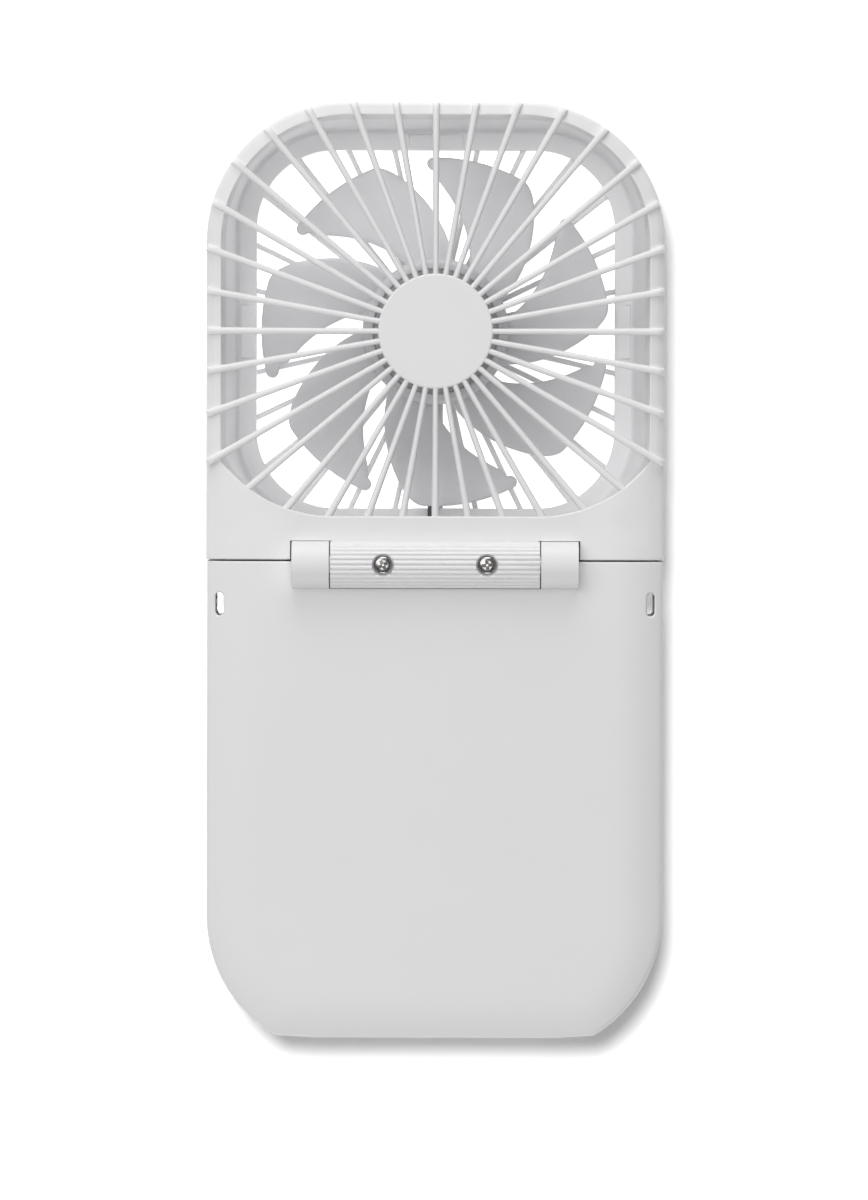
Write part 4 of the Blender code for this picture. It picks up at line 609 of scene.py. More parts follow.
def knuckle(side):
    """A bar's profile: eased at both ends, and bored from the inner end as far as the bush runs."""
    inner, outer = KNUCKLE
    ease = KNUCKLE_EASE
    profile = [
        (CORE, inner + BUSH_DEPTH),
        (BUSH_BORE, inner + BUSH_DEPTH),
        (BUSH_BORE, inner),
        (BARREL - ease, inner),
        (BARREL - 0.3 * ease, inner + 0.3 * ease),
        (BARREL, inner + ease),
        (BARREL, outer - ease),
        (BARREL - 0.3 * ease, outer - 0.3 * ease),
        (BARREL - ease, outer),
        (CORE, outer),
    ]
    return lathe(f"knuckle_{side}", [(radius, side * x) for radius, x in profile], HINGE, "x", 128)


def base_top_piece():
    """The lid with a wall under the hinge, less the barrel's pocket, bores and slots, with knuckles on."""
    shell = lid("base_top_shell", base_face, BASE_PART + PART_SEAM, FACE - WALL)
    carve(shell, [prism("hinge_wall", rectangle(*HINGE_WALL), *HINGE_WALL_Z)], "UNION")
    inner = KNUCKLE[0]
    pocket = hinge_bar("pocket", POCKET, -inner, inner)
    bores = [hinge_bar("bore", BUSH_BORE, s * (inner - PAST), s * (inner + BUSH_DEPTH), 96) for s in (-1, 1)]
    carve(shell, [pocket, *bores, *slot_cutters(), prism("lead_drop", rectangle(*LEAD_DROP), *LEAD_DROP_Z)])
    liners = slot_liner("slot_liner", base_face, BASE_PART + PART_SEAM)
    return smooth(gather("base_top_shell", [shell, knuckle(-1), knuckle(1), *liners]))


base_top = base_top_piece()
dress(base_top, base_abs, "base", ["base_top_cover"])

# %% [markdown]
# The bottom cover stands on four feet. Its end wall has a port, a button and four lamp holes, all level
# with the board behind it. Nothing of this wall shows in the photograph, so these are the usual ones.

# %% Base bottom cover
PORT_Z = 10.6
PORT_X = -14.0
BUTTON_X = 14.0
PORT = (9.0, 3.2)
BUTTON = (10.0, 4.4)
HOLE_PLAY = 0.6
LAMP_X = (-3.9, -1.3, 1.3, 3.9)
LAMP_HOLE = (1.8, 1.8)
FEET = ((-36.0, -14.1), (36.0, -14.1), (-30.0, -78.1), (30.0, -78.1))
FOOT_RECESS = 4.3
FOOT_DEEP = 0.6


def end_hole(name, x, size, play=HOLE_PLAY):
    """A pill cut through the end wall, larger by the play than what stands in it."""
    outline = pill(x, PORT_Z, size[0] + play, size[1] + play)
    return prism(name, outline, BASE_END - PAST, BASE_END + WALL + PAST, along="y")


def base_bottom_piece():
    """The lid turned down, less the end wall's holes, the feet's recesses and the slots."""
    shell = lid("base_bottom_shell", base_floor, BASE_PART - PART_SEAM, FLOOR + WALL)
    holes = [end_hole("port_hole", PORT_X, PORT), end_hole("button_hole", BUTTON_X, BUTTON)]
    holes += [end_hole("lamp_hole", x, LAMP_HOLE, 0.0) for x in LAMP_X]
    recesses = [bar("foot_recess", FOOT_RECESS, FLOOR - PAST, FLOOR + FOOT_DEEP, place) for place in FEET]
    carve(shell, [*holes, *recesses, *slot_cutters()])
    liners = slot_liner("slot_liner", base_floor, BASE_PART - PART_SEAM, -1)
    return smooth(gather("base_bottom_shell", [shell, *liners]))


base_bottom = base_bottom_piece()
dress(base_bottom, rear_abs_painted_lighter, "base", ["base_bottom_cover"])
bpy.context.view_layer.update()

# %% [markdown]
# ## The head's face
# Rim and chin are one moulding. Its outer edge and its opening are unlike outlines, so it is drawn round
# the well's centre: along each ray run rings from the part line up the outer wall, over the face, down
# the well's tapered wall and back inside. The face is at one height on the chin and 0.8 mm lower on the
# rim, which the height function blends over a third of a millimetre.

# %% Rings of the head
HEAD_RAYS = 720
STEP_Y = 21.5
STEP_IN = 1.2
STEP_SPREAD = 1.6
OPENING_Y = 47.35
WELL_SQUARE = (39.7, 19.5, OPENING_Y)
FOOT_Z = 7.5
FOOT_IN = 1.1
SEAM = 0.02


def head_angles():
    """Even rays, with closer ones where the chin steps down to the rim, and one to each split corner."""
    corner = math.atan2(HEAD_LOW - WELL_Y, HEAD_HALF)
    step = math.atan2(STEP_Y - WELL_Y, HEAD_HALF - STEP_IN)
    close = step + np.radians(np.linspace(-STEP_SPREAD, STEP_SPREAD, 41))
    turns = np.linspace(-math.pi, math.pi, HEAD_RAYS + 1)[:-1]
    return np.unique(np.concatenate([turns, close, -math.pi - close, [corner, -math.pi - corner]]))


def head_reach(outline):
    """How far the head's rays run to an outline."""
    return reach(outline, WELL_Y, ANGLES)


def square_reach(half, corner, centre_y):
    """How far they run to a rounded square."""
    return head_reach(rounded_square(half, corner, centre_y))


def head_ring(radius, z):
    """Points on the head's rays."""
    return ring_at(radius, ANGLES, WELL_Y, z)


ANGLES = head_angles()
OUTSIDE = head_reach(head_outline())
INSIDE = head_reach(head_outline(WALL, WALL))
WELL_FOOT = square_reach(*WELL_SQUARE)
WELL_HIGH = head_reach(grille_opening())


def well_reach(z):
    """The well tapers evenly from the face's opening to its foot, then a fillet runs in to the flange."""
    share = np.clip((z - FOOT_Z) / (RIM_TOP - FOOT_Z), 0.0, 1.0)
    turn = np.clip((FOOT_Z - z) / (FOOT_Z - FLANGE_TOP), 0.0, 1.0)
    return WELL_FOOT * (1 - share) + WELL_HIGH * share - FOOT_IN * (1 - math.sqrt(1 - turn**2))


# %% [markdown]
# The rim's top slopes down by a fifth of a millimetre for each one outwards, but for its last half
# millimetre, and it never stands more than 0.6 mm over the chin's crowned height.

# %% Height of the head's face
LIP_ROUND = 0.3
RIM_ROUND = (0.9, 0.8)
RIM_SLOPE = 0.22
SLOPE_FROM = 2.8
SLOPE_RUN = 2.3
RIM_OVER = 0.6
STEP_BLEND = 0.34
FACE_IN = EDGE_IN[:14]


def head_face(x, y, from_opening):
    """Face height: chin and rim each less their edge rounds, blended across the step between them."""
    sides = depth_in(x, y, head_outline())
    lip = rounding(from_opening, LIP_ROUND)
    chin = FACE - crown(sides) - side_roll(x, HEAD_HALF) - rounding(y - HEAD_LOW, SPLIT_ROUND) - lip
    slope = RIM_SLOPE * np.clip(SLOPE_FROM - sides, 0, SLOPE_RUN)
    rim = RIM_TOP - rounding(sides, *RIM_ROUND) - slope - lip
    share = np.clip((y - STEP_Y + STEP_BLEND / 2) / STEP_BLEND, 0.0, 1.0)
    share = share * share * (3 - 2 * share)
    return chin * (1 - share) + np.minimum(rim, chin + RIM_OVER) * share


def face_rows():
    """Rings over the face: fixed steps in from each edge, but never past the middle of a narrow rim."""
    width = OUTSIDE - WELL_HIGH
    shares = np.linspace(0, 0.5, len(FACE_IN))
    steps = [np.minimum(inset, width * share) for inset, share in zip(FACE_IN, shares)]
    radii = [OUTSIDE - step for step in steps] + [WELL_HIGH + step for step in steps[::-1][1:]]
    rows = []
    for radius in radii:
        flat = head_ring(radius, 0.0)
        rows.append(head_ring(radius, head_face(flat[:, 0], flat[:, 1], radius - WELL_HIGH)))
    return rows


# %% [markdown]
# Behind the face the moulding is hollow: the inside rings follow the same outlines a wall's thickness in,
# and stop where the well's own wall begins.

# %% Rim and chin
WELL_RINGS = (21.6, 20.0, HEAD_PART + SEAM)
LEAST_HOLLOW = 0.1


def face_shell():
    """Rings up the outer wall, over the face, down the well to the seam, and back inside the walls."""
    part = HEAD_PART + PART_SEAM
    rows = [head_ring(OUTSIDE, part), *face_rows()]
    rows += [head_ring(well_reach(z), z) for z in WELL_RINGS]
    under = np.where(WELL_Y + OUTSIDE * np.sin(ANGLES) > STEP_Y, RIM_TOP - WALL, FACE - WALL)
    near = WELL_HIGH + THIN
    far = np.maximum(INSIDE, near + LEAST_HOLLOW)
    low_near = well_reach(part) + THIN
    low_far = np.maximum(INSIDE, low_near + LEAST_HOLLOW)
    hollow = ((low_near, part), (near, under), (far, under), (low_far, part))
    rows += [head_ring(radius, z) for radius, z in hollow]
    return skin("grille_face", np.stack(rows), closed=True)


print("the head is drawn with", len(ANGLES), "rays")

# %% [markdown]
# The face's 36 ribs run straight out from the disc every ten degrees. Each is a bar with a rounded top
# whose section is carried along a ray. It widens a little towards the rim, and over the rim's top it
# sinks into it, as the photograph shows. The ribs that meet the chin stop in its arched edge.

# %% Ribs and disc of the face
DISC = 11.3
DISC_TOP = FACE - 0.03
RIB_COUNT = 36
RIB_HALF = 0.53
RIB_TOP = FACE - 0.08
RIB_DEPTH = 1.75
RIB_ROOT = DISC - 0.9
# How much a rib widens, sinks over its last stretch, and stops short of the edge or goes into the chin
RIB_FLARE = 0.28
RIB_SINK = 1.1
RIB_FALL = 1.6
RIB_SHY = 0.12
RIB_INTO = 0.5
# The stretch with closer points, the section's width at its foot and the share that its round top takes
RIB_END = 3.5
DRAFT = 1.08
CREST = 0.3


def bar_section(steps=5):
    """Half width and drop round a bar's section, as shares: drafted straight sides and a rounded top."""
    turn = np.linspace(0, math.pi, 2 * steps + 1)
    across = np.concatenate([[DRAFT], np.cos(turn), [-DRAFT]])
    drop = np.concatenate([[1.0], CREST * (1 - np.sin(turn)), [1.0]])
    return across, drop


def ribs(name, ends, top, depth, start, flare=0.0, sink=0.0):
    """Bars from the fan's middle outwards, each to an angle, a stop and of a half width.

    The half width grows by the flare with the share of the way out squared, and the top falls by the
    sink along a quarter circle over the last 1.6 mm, so points lie closer there.
    """
    across, drop = bar_section()
    closer = RIB_END * np.sin(np.linspace(0.15, 1, 14) * math.pi / 2)
    places = []
    for angle, stop, half in ends:
        along = np.concatenate([np.linspace(start, stop - RIB_END, 8), stop - RIB_END + closer])
        share = (along - start) / (stop - start)
        width = half * (1 + flare * share**2)
        fall = rounding(stop - along, RIB_FALL, sink) if sink else 0.0 * along
        side = across[None, :] * width[:, None]
        height = top - fall[:, None] - drop[None, :] * (depth - fall[:, None])
        c, s = math.cos(angle), math.sin(angle)
        x = along[:, None] * c - side * s
        y = FAN_Y + along[:, None] * s + side * c
        places.append(skin(name, np.stack([x, y, height], axis=-1)))
    return places


def face_ribs():
    """Ribs that run out over the rim, and those whose ends meet the chin's arched edge."""
    angles = np.arange(RIB_COUNT) * 2 * math.pi / RIB_COUNT
    outside = reach(head_outline(RIB_SHY), FAN_Y, angles)
    inside = reach(grille_opening(RIB_INTO), FAN_Y, angles)
    meets = FAN_Y + inside * np.sin(angles) < STEP_Y - 1.0
    over = [(a, r, RIB_HALF) for a, r, chin in zip(angles, outside, meets) if not chin]
    into = [(a, r, RIB_HALF) for a, r, chin in zip(angles, inside, meets) if chin]
    made = ribs("rib", over, RIB_TOP, RIB_DEPTH, RIB_ROOT, RIB_FLARE, RIB_SINK)
    return made + ribs("rib", into, RIB_TOP, RIB_DEPTH, RIB_ROOT, RIB_FLARE)


def face_disc():
    """A flat disc whose edge is a quarter round above and a small slope below."""
    under = [(DISC, FACE - 1.3), (DISC - 0.2, FACE - 1.5), (0.3, FACE - 1.5)]
    profile = [(0.3, DISC_TOP), *quarter_round(DISC, DISC_TOP, 0.45, 7), *under]
    return lathe("face_disc", profile, (0.0, FAN_Y), steps=144)


# %% [markdown]
# Under the ribbed cover the head carries the barrel's lower half, bored for the two hinge pins. Beside it
# a round pocket clears each of the base's knuckles by 0.12 mm: the fine dark line round the knuckle in
# the photograph is that gap.

# %% The grille cover, put together
PIN_BORE = 2.3
SADDLE_X = 20.45
POCKET_X = (20.2, 28.45)
BARREL_WAY = (BARREL - 0.05, -20.3, 20.3)
POCKET_WALL = (-30.2, 2.4, 30.2, 7.3)
POCKET_WALL_Z = (18.3, 23.0)
LEAD_WAY = (13.1, 2.8, 16.9, -0.1)
LEAD_WAY_Z = (20.0, AXIS_Z)


def saddle():
    """The barrel's lower half: an arc of the barrel's own radius, then back along the pins' bore."""
    outer = arc(AXIS_Y, AXIS_Z, BARREL, 182, 358, 40)
    inner = arc(AXIS_Y, AXIS_Z, PIN_BORE, 358, 182, 24)
    return prism("saddle", np.concatenate([outer, inner]), -SADDLE_X, SADDLE_X, along="x")


def grille_cover_piece():
    """The shell with a wall under the hinge, less the pockets, then the saddle, the disc and the ribs."""
    shell = face_shell()
    carve(shell, [prism("pocket_wall", rectangle(*POCKET_WALL), *POCKET_WALL_Z)], "UNION")
    pockets = [hinge_bar("pocket", POCKET, s * POCKET_X[0], s * POCKET_X[1]) for s in (-1, 1)]
    carve(shell, [*pockets, hinge_bar("barrel_way", *BARREL_WAY)])
    lower = carve(saddle(), [prism("lead_way", rectangle(*LEAD_WAY), *LEAD_WAY_Z)])
    return smooth(gather("grille_face", [shell, lower, face_disc(), *face_ribs()]))


grille_face = grille_cover_piece()
dress(grille_face, head_abs, "head", ["grille_cover"])

# %% [markdown]
# ## The head's rear shell
# The rear shell carries the tapered well and the flange at its foot. It is one closed skin round the
# well: down the outer wall, round onto the back, up into the recess that takes the rear grille, in to
# the opening, over the flange, up the well's wall and down behind it.

# %% Rear shell
OPENING = (35.45, 15.5, OPENING_Y)
RECESS = (40.3, 20.6, WELL_Y)
UNDER_IN = (0.0, 0.06, 0.18, 0.36, 0.6, 0.9, 1.25, 1.7, 2.2)


def rear_shell():
    """Rings, each of a reach and a height. Where two or three lie close together, they round an edge."""
    part = HEAD_PART - PART_SEAM
    recess = square_reach(*RECESS)
    opening = square_reach(*OPENING)
    behind = well_reach(part) + THIN
    inside = np.maximum(INSIDE, behind + LEAST_HOLLOW)
    rings = [(OUTSIDE, part)]
    for inset in UNDER_IN:
        edge = head_reach(head_outline(inset, min(inset, SPLIT_ROUND)))
        rings.append((edge, FLOOR + rounding(inset, *UNDER_ROUND)))
    rings += [(recess + 0.25, FLOOR), (recess + 0.08, FLOOR + 0.07), (recess, FLOOR + 0.25)]
    rings += [(recess, FLANGE_LOW), (opening + 0.2, FLANGE_LOW), (opening, FLANGE_LOW + 0.2)]
    rings += [(opening, FLANGE_TOP - 0.3), (opening + 0.09, FLANGE_TOP - 0.09), (opening + 0.3, FLANGE_TOP)]
    rings.append((well_reach(FLANGE_TOP) - 0.2, FLANGE_TOP))
    fillet = FOOT_Z - np.sin(np.linspace(1, 0, 9) * math.pi / 2) * (FOOT_Z - FLANGE_TOP)
    rings += [(well_reach(z), z) for z in (*fillet, 11.0, 14.5, HEAD_PART - SEAM)]
    rings += [(behind, part), (WELL_FOOT + 0.9, FLANGE_TOP + 0.4), (inside, FLANGE_TOP + 0.4), (inside, part)]
    return skin("head_rear_shell", np.stack([head_ring(radius, z) for radius, z in rings]), closed=True)


# %% [markdown]
# Three windows in the flange let the rear grille's clips snap through. Two counterbores at the chin take
# the screws that hold the shells together, and a round hole lets the lead in through the well's wall.

# %% Windows, screw holes and the lead's pass
CLIP_LINE = 38.6
CLIPS = ((0.0, OPENING_Y + CLIP_LINE, True), (-CLIP_LINE, FAN_Y, False), (CLIP_LINE, FAN_Y, False))
WINDOW = {"length": 10.7, "outer": -0.02, "inner": 1.5, "bottom": 1.5, "top": 5.4}
HEAD_SCREWS = ((-39.4, 7.5), (39.4, 7.5))
TOWER = (3.2, 1.4, 6.35)
COUNTERBORE = (2.3, -0.5, 2.3)
SCREW_HOLE = (1.3, 1.8, 7.5)
LEAD_PASS = (1.2, 5.9, 13.6)
LEAD_PASS_AT = (-0.9, 5.1)


def side_axes(x, flat):
    """Unit directions in from a side of the well and along it."""
    if flat:
        return np.array([0.0, -1.0]), np.array([1.0, 0.0])
    return np.array([-np.sign(x), 0.0]), np.array([0.0, 1.0])


def side_block(x, y, flat, length, outer, inner, bottom, top):
    """A box along a side of the well, from one depth inside the side to another."""
    inward, along = side_axes(x, flat)
    places = ((outer, -1), (outer, 1), (inner, 1), (inner, -1))
    corners = [np.array([x, y]) + inward * d + along * s * length / 2 for d, s in places]
    return prism("side_block", np.array(corners), bottom, top)


def rear_shell_piece():
    """The shell with two screw towers, less the clips' windows, the screws' holes and the lead's pass."""
    shell = rear_shell()
    carve(shell, [bar("tower", *TOWER, place) for place in HEAD_SCREWS], "UNION")
    windows = [side_block(*place, **WINDOW) for place in CLIPS]
    holes = []
    for place in HEAD_SCREWS:
        holes += [bar("counterbore", *COUNTERBORE, place), bar("screw_hole", *SCREW_HOLE, place)]
    carve(shell, [*windows, *holes, bar("lead_pass", *LEAD_PASS, LEAD_PASS_AT, "y", 32)])
    return smooth(shell)


rear_case = rear_shell_piece()
dress(rear_case, rear_abs_painted_lighter, "head", ["shroud"])

# %% [markdown]
# ## Rear grille
# A clipped ring, 28 fine ribs and a round motor mount. The bottom rib is nearly three times as wide, and
# the motor's dark wire lies along it. Each clip is a tongue whose head slopes down over the flange, so
# the photograph shows a pale bar along the wall and a greyer band inside it.

# %% Rear grille
REAR_RIBS = 28
REAR_RIB_HALF = 0.5
LEAD_RIB_HALF = 1.42
REAR_RIB_TOP = 2.1
REAR_RIB_DEPTH = 1.2
REAR_RIB_IN = (36.0, 16.3, WELL_Y)
MOUNT = 14.0
RING = (0.8, 2.2)
RING_OUTER = (40.0, 20.3, WELL_Y)
RING_INNER = (36.3, 16.4, OPENING_Y)


def rear_ring():
    """Two rounded squares 3.7 mm apart, joined by a section with its edges eased by 0.2 mm."""
    outer = square_reach(*RING_OUTER)
    inner = square_reach(*RING_INNER)
    low, high = RING
    section = ((0, low + 0.2), (0, high - 0.2), (0.06, high - 0.06), (0.2, high))
    rows = [head_ring(outer - inset, z) for inset, z in section]
    rows += [head_ring(inner + inset, z) for inset, z in section[::-1]]
    rows += [head_ring(inner + inset, low + high - z) for inset, z in section[1:]]
    rows += [head_ring(outer - inset, low + high - z) for inset, z in section[::-1][:-1]]
    return skin("rear_ring", np.stack(rows), closed=True)


def motor_mount():
    """The mount's profile: a flat back with a turned edge, a step for the board and the bearing post."""
    low = RING[0]
    profile = [
        (0.3, 3.0),
        (2.8, 3.0),
        (2.8, 16.5),
        (3.8, 16.5),
        (3.8, 10.8),
        (4.8, 10.8),
        (4.8, 2.4),
        (MOUNT - 0.2, 2.4),
        (MOUNT, 2.2),
        (MOUNT, low + 0.35),
        (MOUNT - 0.1, low + 0.1),
        (MOUNT - 0.35, low),
        (11.9, low),
        (11.6, low + 0.25),
        (11.3, low),
        (0.3, low),
    ]
    return lathe("motor_mount", profile, (0.0, FAN_Y), steps=144)


def clip(x, y, flat):
    """A section of distance in from the side and height, drawn along the side with eased ends."""
    inward, along = side_axes(x, flat)
    tongue = [(1.3, 3.94), (1.3, 1.9), (-0.01, 1.9), (-0.01, 3.95)]
    head = [(0.04, 4.2), (0.14, 4.27), (0.75, 4.24), (0.95, 4.12), (2.5, 4.02), (2.6, 3.94)]
    section = [*tongue, *head]
    depth, height = np.array(section).T
    rows = []
    for place, ease in ((-5.3, 0.15), (-5.15, 0.0), (5.15, 0.0), (5.3, 0.15)):
        flat_points = np.array([x, y]) + depth[:, None] * inward + place * along
        rows.append(np.column_stack([flat_points, height - ease * (height > 4.05)]))
    return skin("clip", np.stack(rows))


def rear_grille_piece():
    """The ring, the mount, and ribs at even angles from the wide one at the bottom, with three clips."""
    angles = np.arange(REAR_RIBS) * 2 * math.pi / REAR_RIBS - math.pi / 2
    stops = reach(rounded_square(*REAR_RIB_IN), FAN_Y, angles) + 1.2
    halves = [LEAD_RIB_HALF] + [REAR_RIB_HALF] * (REAR_RIBS - 1)
    rear_ribs = ribs("rear_rib", zip(angles, stops, halves), REAR_RIB_TOP, REAR_RIB_DEPTH, MOUNT - 1.0)
    clips = [clip(*place) for place in CLIPS]
    return smooth(gather("rear_grille_moulding", [rear_ring(), motor_mount(), *rear_ribs, *clips]))


rear_grille = rear_grille_piece()
dress(rear_grille, rear_abs_painted_lighter, "head", ["rear_grille"])

# %% [markdown]
# ## Impeller
# Seven thin blades stand on a cup. A blade is a sheet over radius and angle: its two edges sweep back
# towards the hub at an even rate after a soft bend by the tip, whose far corner swells into a rounded
# lobe and whose near one is cut to a 4 mm arc. The sheet falls by a helix and droops outwards.
# Its thickness follows a high-power ellipse across the chord, so both edges are round.

# %% Blades and hub
BLADES = 7
HUB = 14.4
HUB_TOP = 19.9
DISH = 12.3
TIP = 34.5
# An edge's angle at the tip, its sweep in degrees for each mm inwards, and where its bend starts and how
# soft it is
NEAR_EDGE = (54.3, 1.6, 1.8, 1.5)
FAR_EDGE = (90.9, 1.75, 3.9, 1.0)
# The lobe's height in degrees, the depth of its middle and its half length
LOBE = (2.4, 1.3, 1.35)
# The near corner's arc, the tip's rounding, and the stretch with closer rings
TIP_CORNER = 4.0
TIP_ROUND = 0.5
TIP_RINGS = 3.0
# The sheet's fall for each radian round and each mm out, its thickness, how far it starts under the
# hub's top and inside the hub, and the power that rounds its edges
HELIX = 6.4
DROOP = 0.25
BLADE_THICK = 1.1
BLADE_UNDER = 0.6
BLADE_INTO = 0.8
NOSE_POWER = 14


def edge_angle(deep, tip_angle, sweep, start, soft):
    """An edge's angle by its depth in from the tip: level, then swept back at an even rate, with a soft
    bend between them that is half a hyperbola."""
    past = deep - start
    return tip_angle - sweep * ((past + np.sqrt(past**2 + soft**2)) / 2)


def blade_edges(radius):
    """Near and far edge angles in degrees at a radius, from the depth in from the tip."""
    deep = TIP - radius
    high, middle, half = LOBE
    lobe = high * np.sqrt(np.clip(1 - ((deep - middle) / half) ** 2, 0, None))
    over = np.clip(radius - (TIP - TIP_CORNER), 0, None)
    corner = (TIP_CORNER - np.sqrt(np.clip(TIP_CORNER**2 - over**2, 0, None))) / radius
    return edge_angle(deep, *NEAR_EDGE) + np.degrees(corner), edge_angle(deep, *FAR_EDGE) + lobe


def blade_height(radius, angle):
    """The sheet's middle: 6.4 mm down for each radian round, and 0.25 mm for each millimetre out.

    It starts high enough on the hub for the tips to clear the lead.
    """
    root_angle = blade_edges(np.array(HUB))[0]
    fall = HELIX * np.radians(angle - root_angle) + DROOP * (radius - HUB)
    return HUB_TOP - BLADE_UNDER - BLADE_THICK / 2 - fall


def blade(turn):
    """One blade as rings: across its top from near to far edge and back beneath, for each radius. The
    rings lie closer over the last 3 mm, where the tip is rounded."""
    depth = TIP_RINGS * (1 - np.cos(np.linspace(0, math.pi / 2, 22)))
    rest = np.linspace(TIP - TIP_RINGS, HUB - BLADE_INTO, 30)[1:]
    radius = np.concatenate([TIP - depth, rest])[:, None]
    share = (1 - np.cos(np.linspace(0, math.pi, 33))) / 2
    near, far = blade_edges(radius)
    angle = near + (far - near) * share
    nose = np.sqrt(np.clip(1 - np.abs(2 * share - 1) ** NOSE_POWER, 0, 1))
    tip = np.sqrt(np.clip(1 - np.clip(1 - (TIP - radius) / TIP_ROUND, 0, 1) ** 2, 0, 1))
    half = BLADE_THICK / 2 * nose * tip
    middle = blade_height(radius, angle)
    loop = np.concatenate([angle, angle[:, -2:0:-1]], axis=1)
    height = np.concatenate([middle + half, (middle - half)[:, -2:0:-1]], axis=1)
    spot = np.radians(loop) + turn
    points = np.stack([radius * np.cos(spot), FAN_Y + radius * np.sin(spot), height], axis=-1)
    return skin("blade", points)


def hub():
    """The cup's profile: a dished top, a quarter-round edge, the skirt, and a boss inside on the shaft."""
    dish = [(CORE, HUB_TOP - 0.8), (DISH - 0.25, HUB_TOP - 0.8), (DISH, HUB_TOP - 0.6)]
    dish += [(DISH, HUB_TOP - 0.15), (DISH + 0.15, HUB_TOP)]
    skirt = [(HUB, 9.1), (HUB - 0.2, 8.9), (13.2, 8.9), (13.2, 18.7)]
    boss = [(2.5, 18.7), (2.5, 16.8), (1.3, 16.8), (1.3, 19.0), (CORE, 19.0)]
    profile = [*dish, *quarter_round(HUB, HUB_TOP, 1.4, 9), *skirt, *boss]
    return lathe("hub", profile, (0.0, FAN_Y), steps=128)


impeller = gather("impeller_moulding", [hub(), *[blade(k * 2 * math.pi / BLADES) for k in range(BLADES)]])
smooth(impeller)
dress(impeller, impeller_pp, "rotor", ["impeller"])

# %% [markdown]
# ## Ribbed hinge cover
# The upper half of the barrel carries eleven shallow grooves. Its section is an arc whose radius dips
# by 0.35 mm in a soft-edged groove every 12.5 degrees, and it is carried along X with its ends eased.
# Two round recesses take the screws.

# %% Hinge cover
GROOVES = 11
GROOVE_PITCH = 12.5
GROOVE_DEEP = 0.35
COVER_ENDS = ((20.57, 0.15), (20.52, 0.05), (20.4, 0.0))
CREST_Z = AXIS_Z + BARREL
SCREW_X = 10.2
SCREW_SEAT = CREST_Z - 1.7
RECESS_RADIUS = 2.2
SCREW_WAY = 1.3


def cover_radius(turn):
    """Barrel radius by angle: a groove is a raised cosine to the fourth power about its own middle."""
    pitch = math.radians(GROOVE_PITCH)
    first = math.pi / 2 - pitch * (GROOVES - 1) / 2
    spot = np.clip(np.round((turn - first) / pitch), 0, GROOVES - 1) * pitch + first
    off = np.abs(turn - spot) / (pitch / 2)
    return BARREL - GROOVE_DEEP * np.clip(np.cos(np.clip(off, 0, 1) * math.pi / 2), 0, 1) ** 4


def hinge_cover_piece():
    """The grooved arc out and the pins' bore back, at places along X that ease both ends."""
    turn = np.radians(np.linspace(2.0, 178.0, 353))
    outer = cover_radius(turn)
    back = np.radians(np.linspace(176.0, 4.0, 60))
    angle = np.concatenate([turn, back])
    stations = [(-x, inset) for x, inset in COVER_ENDS] + [(x, inset) for x, inset in COVER_ENDS[::-1]]
    rows = []
    for x, inset in stations:
        radius = np.concatenate([outer - inset, np.full(len(back), PIN_BORE)])
        ring = [np.full(len(angle), x), AXIS_Y + radius * np.cos(angle), AXIS_Z + radius * np.sin(angle)]
        rows.append(np.stack(ring, axis=-1))
    cover = skin("hinge_cover_moulding", np.stack(rows))
    wide, top = RECESS_RADIUS, CREST_Z + PAST
    recess = [(CORE, SCREW_SEAT), (wide, SCREW_SEAT), (wide, CREST_Z - 0.1), (wide + 0.06, top), (CORE, top)]
    cutters = []
    for place in ((-SCREW_X, AXIS_Y), (SCREW_X, AXIS_Y)):
        cutters.append(lathe("recess", recess, place, steps=72))
        cutters.append(bar("screw_way", SCREW_WAY, AXIS_Z - PAST, CREST_Z, place, steps=32))
    return smooth(carve(cover, cutters), 30)


hinge_cover = hinge_cover_piece()
dress(hinge_cover, head_abs, "head", ["hinge_cover"])

# %% [markdown]
# ## Screws
# The hinge screws are plated M2 pan heads with a cross recess. The head's profile is a shallow dome over
# a short straight edge. The recess is a cross of two tapered slots, deepest in the middle.

# %% Pan head screws
def tapered_slot(long, wide, top, bottom, centre, turn):
    """A slot narrower and shorter at its bottom, turned about the screw's own axis."""
    layers = []
    for size, z in ((1.0, top), (0.15, bottom)):
        x = np.array([-1, 1, 1, -1]) * long * size
        y = np.array([-1, -1, 1, 1]) * wide * (0.4 + 0.6 * size)
        c, s = math.cos(turn), math.sin(turn)
        layers.append(np.stack([centre[0] + x * c - y * s, centre[1] + x * s + y * c, np.full(4, z)], axis=1))
    return skin("slot", np.stack(layers))


def pan_screw(name, centre, seat, head, height, shank, length, turn=0.0, up=1):
    """A head of an ellipse's quarter above a straight edge, then the shank down to its point.

    The straight edge takes 0.3 of the head's height. Powers of 0.8 fill the quarter out a little. The
    cross is 0.74 of the head's width long and 0.2 wide, and goes down to a tenth of its height.
    """
    sweep = np.linspace(0, math.pi / 2, 12)[1:]
    dome = [(head * math.sin(a) ** 0.8, seat + up * height * (0.3 + 0.7 * math.cos(a) ** 0.8)) for a in sweep]
    top = (0.02, seat + up * height)
    under = [(head, seat + 0.04 * up), (head - 0.06, seat), (shank, seat)]
    point = [(shank, seat - up * (length - shank)), (0.02, seat - up * length)]
    made = lathe(name, [top, *dome, *under, *point], centre, steps=64)
    levels = (seat + up * height * 1.3, seat + up * height * 0.1)
    slots = [tapered_slot(0.74 * head, 0.2 * head, *levels, centre, turn + q) for q in (0.0, math.pi / 2)]
    return smooth(carve(made, slots), 30)


